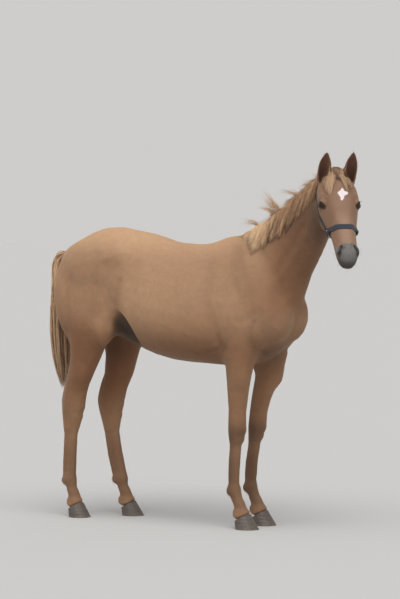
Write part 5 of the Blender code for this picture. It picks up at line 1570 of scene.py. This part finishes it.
def lie_of_coat(places, outs):
    """The way that the hair lies: down the face, back along the neck and body, down the legs."""
    body = places - body_zero
    headed, eared = on_head_weight(places), ear_weight(places)
    way = np.tile(np.array([-0.88, 0.0, -0.48]), (len(places), 1))
    legged = ramp(body[:, 2], 1.00, 0.80)[:, None]
    way = way * (1 - legged) + np.array([-0.18, 0.0, -1.0]) * legged
    hind = (ramp(body[:, 0], -0.35, -0.60) * ramp(body[:, 2], 0.8, 1.1))[:, None]
    way = way * (1 - hind) + np.array([-0.45, 0.0, -0.90]) * hind
    way = way * (1 - headed[:, None]) + np.array(DOWN_FACE * 0.9 - OFF_FACE * 0.35) * headed[:, None]
    way = way * (1 - eared[:, None]) + np.array([0.0, 0.0, 1.0]) * eared[:, None]
    return unit(way - outs * np.sum(way * outs, axis=1, keepdims=True))


def tufts(name, density, length, width, lift, seed):
    """Small tapering tufts, with their density per square metre and their sizes given at each skin point."""
    chance = np.random.default_rng(seed)
    points = coordinates(skin.data)
    corners, area = skin_triangles()
    weight = density[corners].mean(axis=1) * area
    count = int(weight.sum())
    chosen = chance.choice(len(weight), count, p=weight / weight.sum())
    mix = chance.dirichlet((1, 1, 1), count)
    triangle = corners[chosen]

    def at_roots(values):
        return np.einsum("ij,ij...->i...", mix, values[triangle])

    roots = at_roots(points)
    outs = unit(at_roots(normals(skin.data)))
    way = lie_of_coat(roots, outs)
    way = unit(way + np.cross(way, outs) * chance.normal(0, 0.22, (count, 1)))
    size = at_roots(length) * chance.uniform(0.6, 1.2, count)
    rise = at_roots(lift) * chance.uniform(0.5, 1.5, count)
    half = at_roots(width) * chance.uniform(0.7, 1.2, count)
    t = np.linspace(0, 1, TUFT_RINGS)[None, :, None]
    curve = np.sin(t * 1.4) / math.sin(1.4)
    size, rise, out = size[:, None, None], (size * rise)[:, None, None], outs[:, None]
    paths = roots[:, None] - out * TUFT_ROOT + way[:, None] * size * t + out * rise * curve
    ways = np.repeat(out, TUFT_RINGS, axis=1)
    made = locks_object(name, paths, ways, half, unwrapped(roots), chance.uniform(0, 1, count), flatness=0.3)
    per = len(made.data.vertices) // count
    for layer in MARKS:
        set_attribute(made, layer, np.repeat(at_roots(skin_mark(layer)), per, axis=0))
    return made


def skin_mark(name):
    layer = skin.data.attributes[name]
    return rows_of(layer.data, *(("vector", 3) if layer.data_type == "FLOAT_VECTOR" else ("value", 1)))


def unwrapped(places):
    """Where each place lies on an unwrap of the skin: body, head and legs round their own middles."""
    body = places - body_zero
    x, y, z = body.T
    headed = on_head_weight(places) > 0.5
    legged = z < 0.80
    round_body = (np.arctan2(y, z - 1.15) / (2 * np.pi) + 0.5) % 1
    u = 0.02 + 0.60 * np.clip((x + 0.75) / 1.75, 0, 1)
    v = 0.02 + 0.50 * round_body
    down, left, off = head_coordinates(places).T
    u_head = 0.65 + 0.32 * np.clip((down + 0.15) / 0.75, 0, 1)
    v_head = 0.02 + 0.50 * ((np.arctan2(left, off + 0.08) / (2 * np.pi) + 0.5) % 1)
    leg = (x > 0) * 2 + (y > 0)
    middles = np.array([node_centre(f"leg_{pair}_{side}")[:2]
                        for pair in ("hind", "fore") for side in ("right", "left")])
    arm = places[:, :2] - middles[leg]
    u_leg = 0.02 + 0.24 * leg + 0.21 * ((np.arctan2(arm[:, 1], arm[:, 0]) / (2 * np.pi) + 0.5) % 1)
    v_leg = 0.56 + 0.41 * np.clip(z / 0.80, 0, 1)
    u = np.where(legged, u_leg, np.where(headed, u_head, u))
    v = np.where(legged, v_leg, np.where(headed, v_head, v))
    return np.clip(np.stack([u, v], axis=1), 0.001, 0.995)


def coat_tufts():
    """Tufts, dense where the coat is long: ears, jaw, chest, elbows, belly, backs of the legs, coronets."""
    points, out = coordinates(skin.data), normals(skin.data)
    x, _, z = (points - body_zero).T
    down, _, off = head_coordinates(points).T
    headed, eared = on_head_weight(points), ear_weight(points)
    body_part = (1 - headed) * (1 - eared)
    bare = np.maximum(skin_mark("lip"), skin_mark("lids"))
    inner_ear = skin_mark("deep_ear")
    density = 6000 * ramp(out[:, 2], -0.3, -0.8) * ramp(z, 0.98, 0.90) * body_part * ramp(z, 0.70, 0.80)
    density += 5000 * hump(x - 0.70, 0.07) * hump(z - 1.03, 0.14) * ramp(out[:, 0], 0.2, 0.7) * body_part
    thigh_back = ramp(x, -0.50, -0.62) * ramp(z, 1.35, 1.25) * ramp(z, 0.80, 0.90)
    density += 7000 * ramp(out[:, 0], -0.2, -0.7) * thigh_back
    density += 9000 * hump(x - 0.33, 0.05) * hump(z - 0.90, 0.07)
    density += 5000 * headed * (1 - bare)
    density += 16000 * ramp(off, -0.12, -0.19) * ramp(headed, 0.7, 1.0) * ramp(down, 0.50, 0.40)
    density += 34000 * eared + 30000 * inner_ear
    density += 26000 * ramp(out[:, 0], -0.2, -0.8) * hump(z - 0.17, 0.05) * (z < 0.3)
    density += 30000 * hump(z - 0.088, 0.012)
    density += 8000 * ramp(out[:, 0], -0.3, -0.9) * ramp(z, 0.30, 0.40) * ramp(z, 0.80, 0.60)
    density *= 1 - 0.8 * skin_mark("muzzle")
    length = 0.0075 - 0.0038 * headed - 0.0015 * ramp(z, 0.8, 0.6) + 0.010 * inner_ear
    length += 0.012 * ramp(out[:, 0], -0.2, -0.8) * hump(z - 0.17, 0.04) * (z < 0.3)
    length += 0.004 * ramp(off, -0.11, -0.19) * headed * ramp(down, 0.50, 0.40)
    width = 0.00054 - 0.00020 * np.maximum(headed, eared)
    lift = 0.10 + 0.25 * ramp(out[:, 2], -0.3, -0.8) * body_part + 0.12 * eared + 0.2 * hump(z - 0.17, 0.05)
    lift += 0.04 * ramp(off, -0.11, -0.19) * headed
    return tufts("coat_tufts", density, length, width, lift, 5)


placed(coat_tufts(), coat_finish, "coat")


# ---- lashes and whiskers
LASHES, WHISKERS = 64, 54


def face_hairs():
    """Lashes on the upper lids, and long hairs on the nose's end, the lips and the chin."""
    chance = np.random.default_rng(9)
    t = np.linspace(0, 1, TUFT_RINGS)
    roots, ways, bends, sizes = [], [], [], []
    for side, sign in SIDES.items():
        out, long, high = eye_axes(sign)
        for a in chance.uniform(-0.74, 0.70, LASHES):
            b = lids(np.array([a]))[0][0] + chance.uniform(0.0, 0.07)
            toward = out * math.sqrt(max(0.05, 1 - a * a - b * b)) + long * a + high * b
            roots.append(np.array(EYE_CENTRES[side]) + toward * (EYE_RADIUS + LID_THICK * 0.5))
            ways.append(unit(out * 0.9 + high * 0.25 + long * a * 0.5 - np.array([0.0, 0.0, 0.35])))
            bends.append(high * 0.35)
            sizes.append(chance.uniform(0.009, 0.015))
    points, out = coordinates(skin.data), normals(skin.data)
    down, _, off = head_coordinates(points).T
    muzzle = (down > 0.47) & (off < -0.02) & (on_head_weight(points) > 0.9)
    likely = np.flatnonzero(muzzle & (out @ np.array(DOWN_FACE) > -0.2))
    for pick in chance.choice(likely, WHISKERS):
        roots.append(points[pick])
        ways.append(unit(out[pick] + chance.normal(0, 0.2, 3)))
        bends.append(np.array([0.0, 0.0, -0.35]))
        sizes.append(chance.uniform(0.010, 0.030))
    roots, ways, bends, sizes = (np.array(values) for values in (roots, ways, bends, sizes))
    t = t[None, :, None]
    paths = roots[:, None] + (ways[:, None] * t + bends[:, None] * t ** 2) * sizes[:, None, None]
    outs = np.repeat(unit(np.cross(ways, bends))[:, None], TUFT_RINGS, axis=1)
    half = np.where(np.arange(len(roots)) < 2 * LASHES, 0.00022, 0.00013)
    return locks_object("lashes_and_whiskers", paths, outs, half, unwrapped(roots), np.zeros(len(roots)))


dark_finish, wire = material("dark_hair", Roughness=0.5, Specular_IOR_Level=0.4)
feed(dark_finish, attribute(wire, "along").blend((0.020, 0.013, 0.010), (0.060, 0.040, 0.030)))
placed(face_hairs(), dark_finish, "long_hair")

# ---- the floor, light and camera
FLOOR_TONE = (0.56, 0.553, 0.540)
FLOOR_REACH, VIEW_REACH = 120, 400
floor_mesh = bpy.data.meshes.new("floor")
bm = bmesh.new()
bmesh.ops.create_circle(bm, cap_ends=True, radius=FLOOR_REACH, segments=96)
bm.to_mesh(floor_mesh)
bm.free()
floor = new_object("floor", floor_mesh)
made, wire = material("floor", Roughness=0.9, Specular_IOR_Level=0.1)
grain = place(wire).noise(3.0, 4.0)
floor_mesh.materials.append(feed(made, grain.blend(tuple(0.985 * t for t in FLOOR_TONE), FLOOR_TONE)))

KEY_STRENGTH, KEY_SOFTNESS = 2.35, math.radians(55)
KEY_TURNS = [math.radians(turn) for turn in (24, -14, 60)]
SKY_TOP, SKY_EDGE = (0.42, 0.42, 0.425), (0.616, 0.608, 0.594)       # the edge is as bright as the lit floor
key = bpy.data.lights.new("key", "SUN")
key.energy = KEY_STRENGTH
key.angle = KEY_SOFTNESS
key_light = new_object("key", key)
key_light.rotation_euler = KEY_TURNS
world = bpy.data.worlds.new("sky")
bpy.context.scene.world = world
world.use_nodes = True
sky = Wire(world.node_tree)
height = sky.node("TexCoord").parts()[2]
shade = height.step(0.10, 0.60).blend(SKY_EDGE, SKY_TOP)
background = world.node_tree.nodes["Background"]
world.node_tree.links.new(shade.socket, background.inputs["Color"])

VIEW_TURN, VIEW_DROP = math.radians(34), math.atan(0.03125)
CAMERA_AWAY, CAMERA_RIGHT, CAMERA_HIGH = 14.0, 0.1175, 1.55
SENSOR_HIGH, LENS = 36, 168.2805                # millimetres
toward_camera = Vector((math.sin(VIEW_TURN), -math.cos(VIEW_TURN), 0))
rightward = Vector((math.cos(VIEW_TURN), math.sin(VIEW_TURN), 0))
camera = bpy.data.cameras.new("camera")
camera.sensor_fit = "VERTICAL"
camera.sensor_height = SENSOR_HIGH
camera.lens = LENS
camera.clip_end = VIEW_REACH
camera_object = new_object("camera", camera)
stand = toward_camera * CAMERA_AWAY + rightward * CAMERA_RIGHT + Vector((BODY_ZERO, MIDLINE, CAMERA_HIGH))
looking = -toward_camera * math.cos(VIEW_DROP) - UP * math.sin(VIEW_DROP)
camera_object.matrix_world = Matrix.Translation(stand) @ looking.to_track_quat("-Z", "Y").to_matrix().to_4x4()
bpy.context.scene.camera = camera_object
bpy.context.scene.view_settings.view_transform = "Standard"
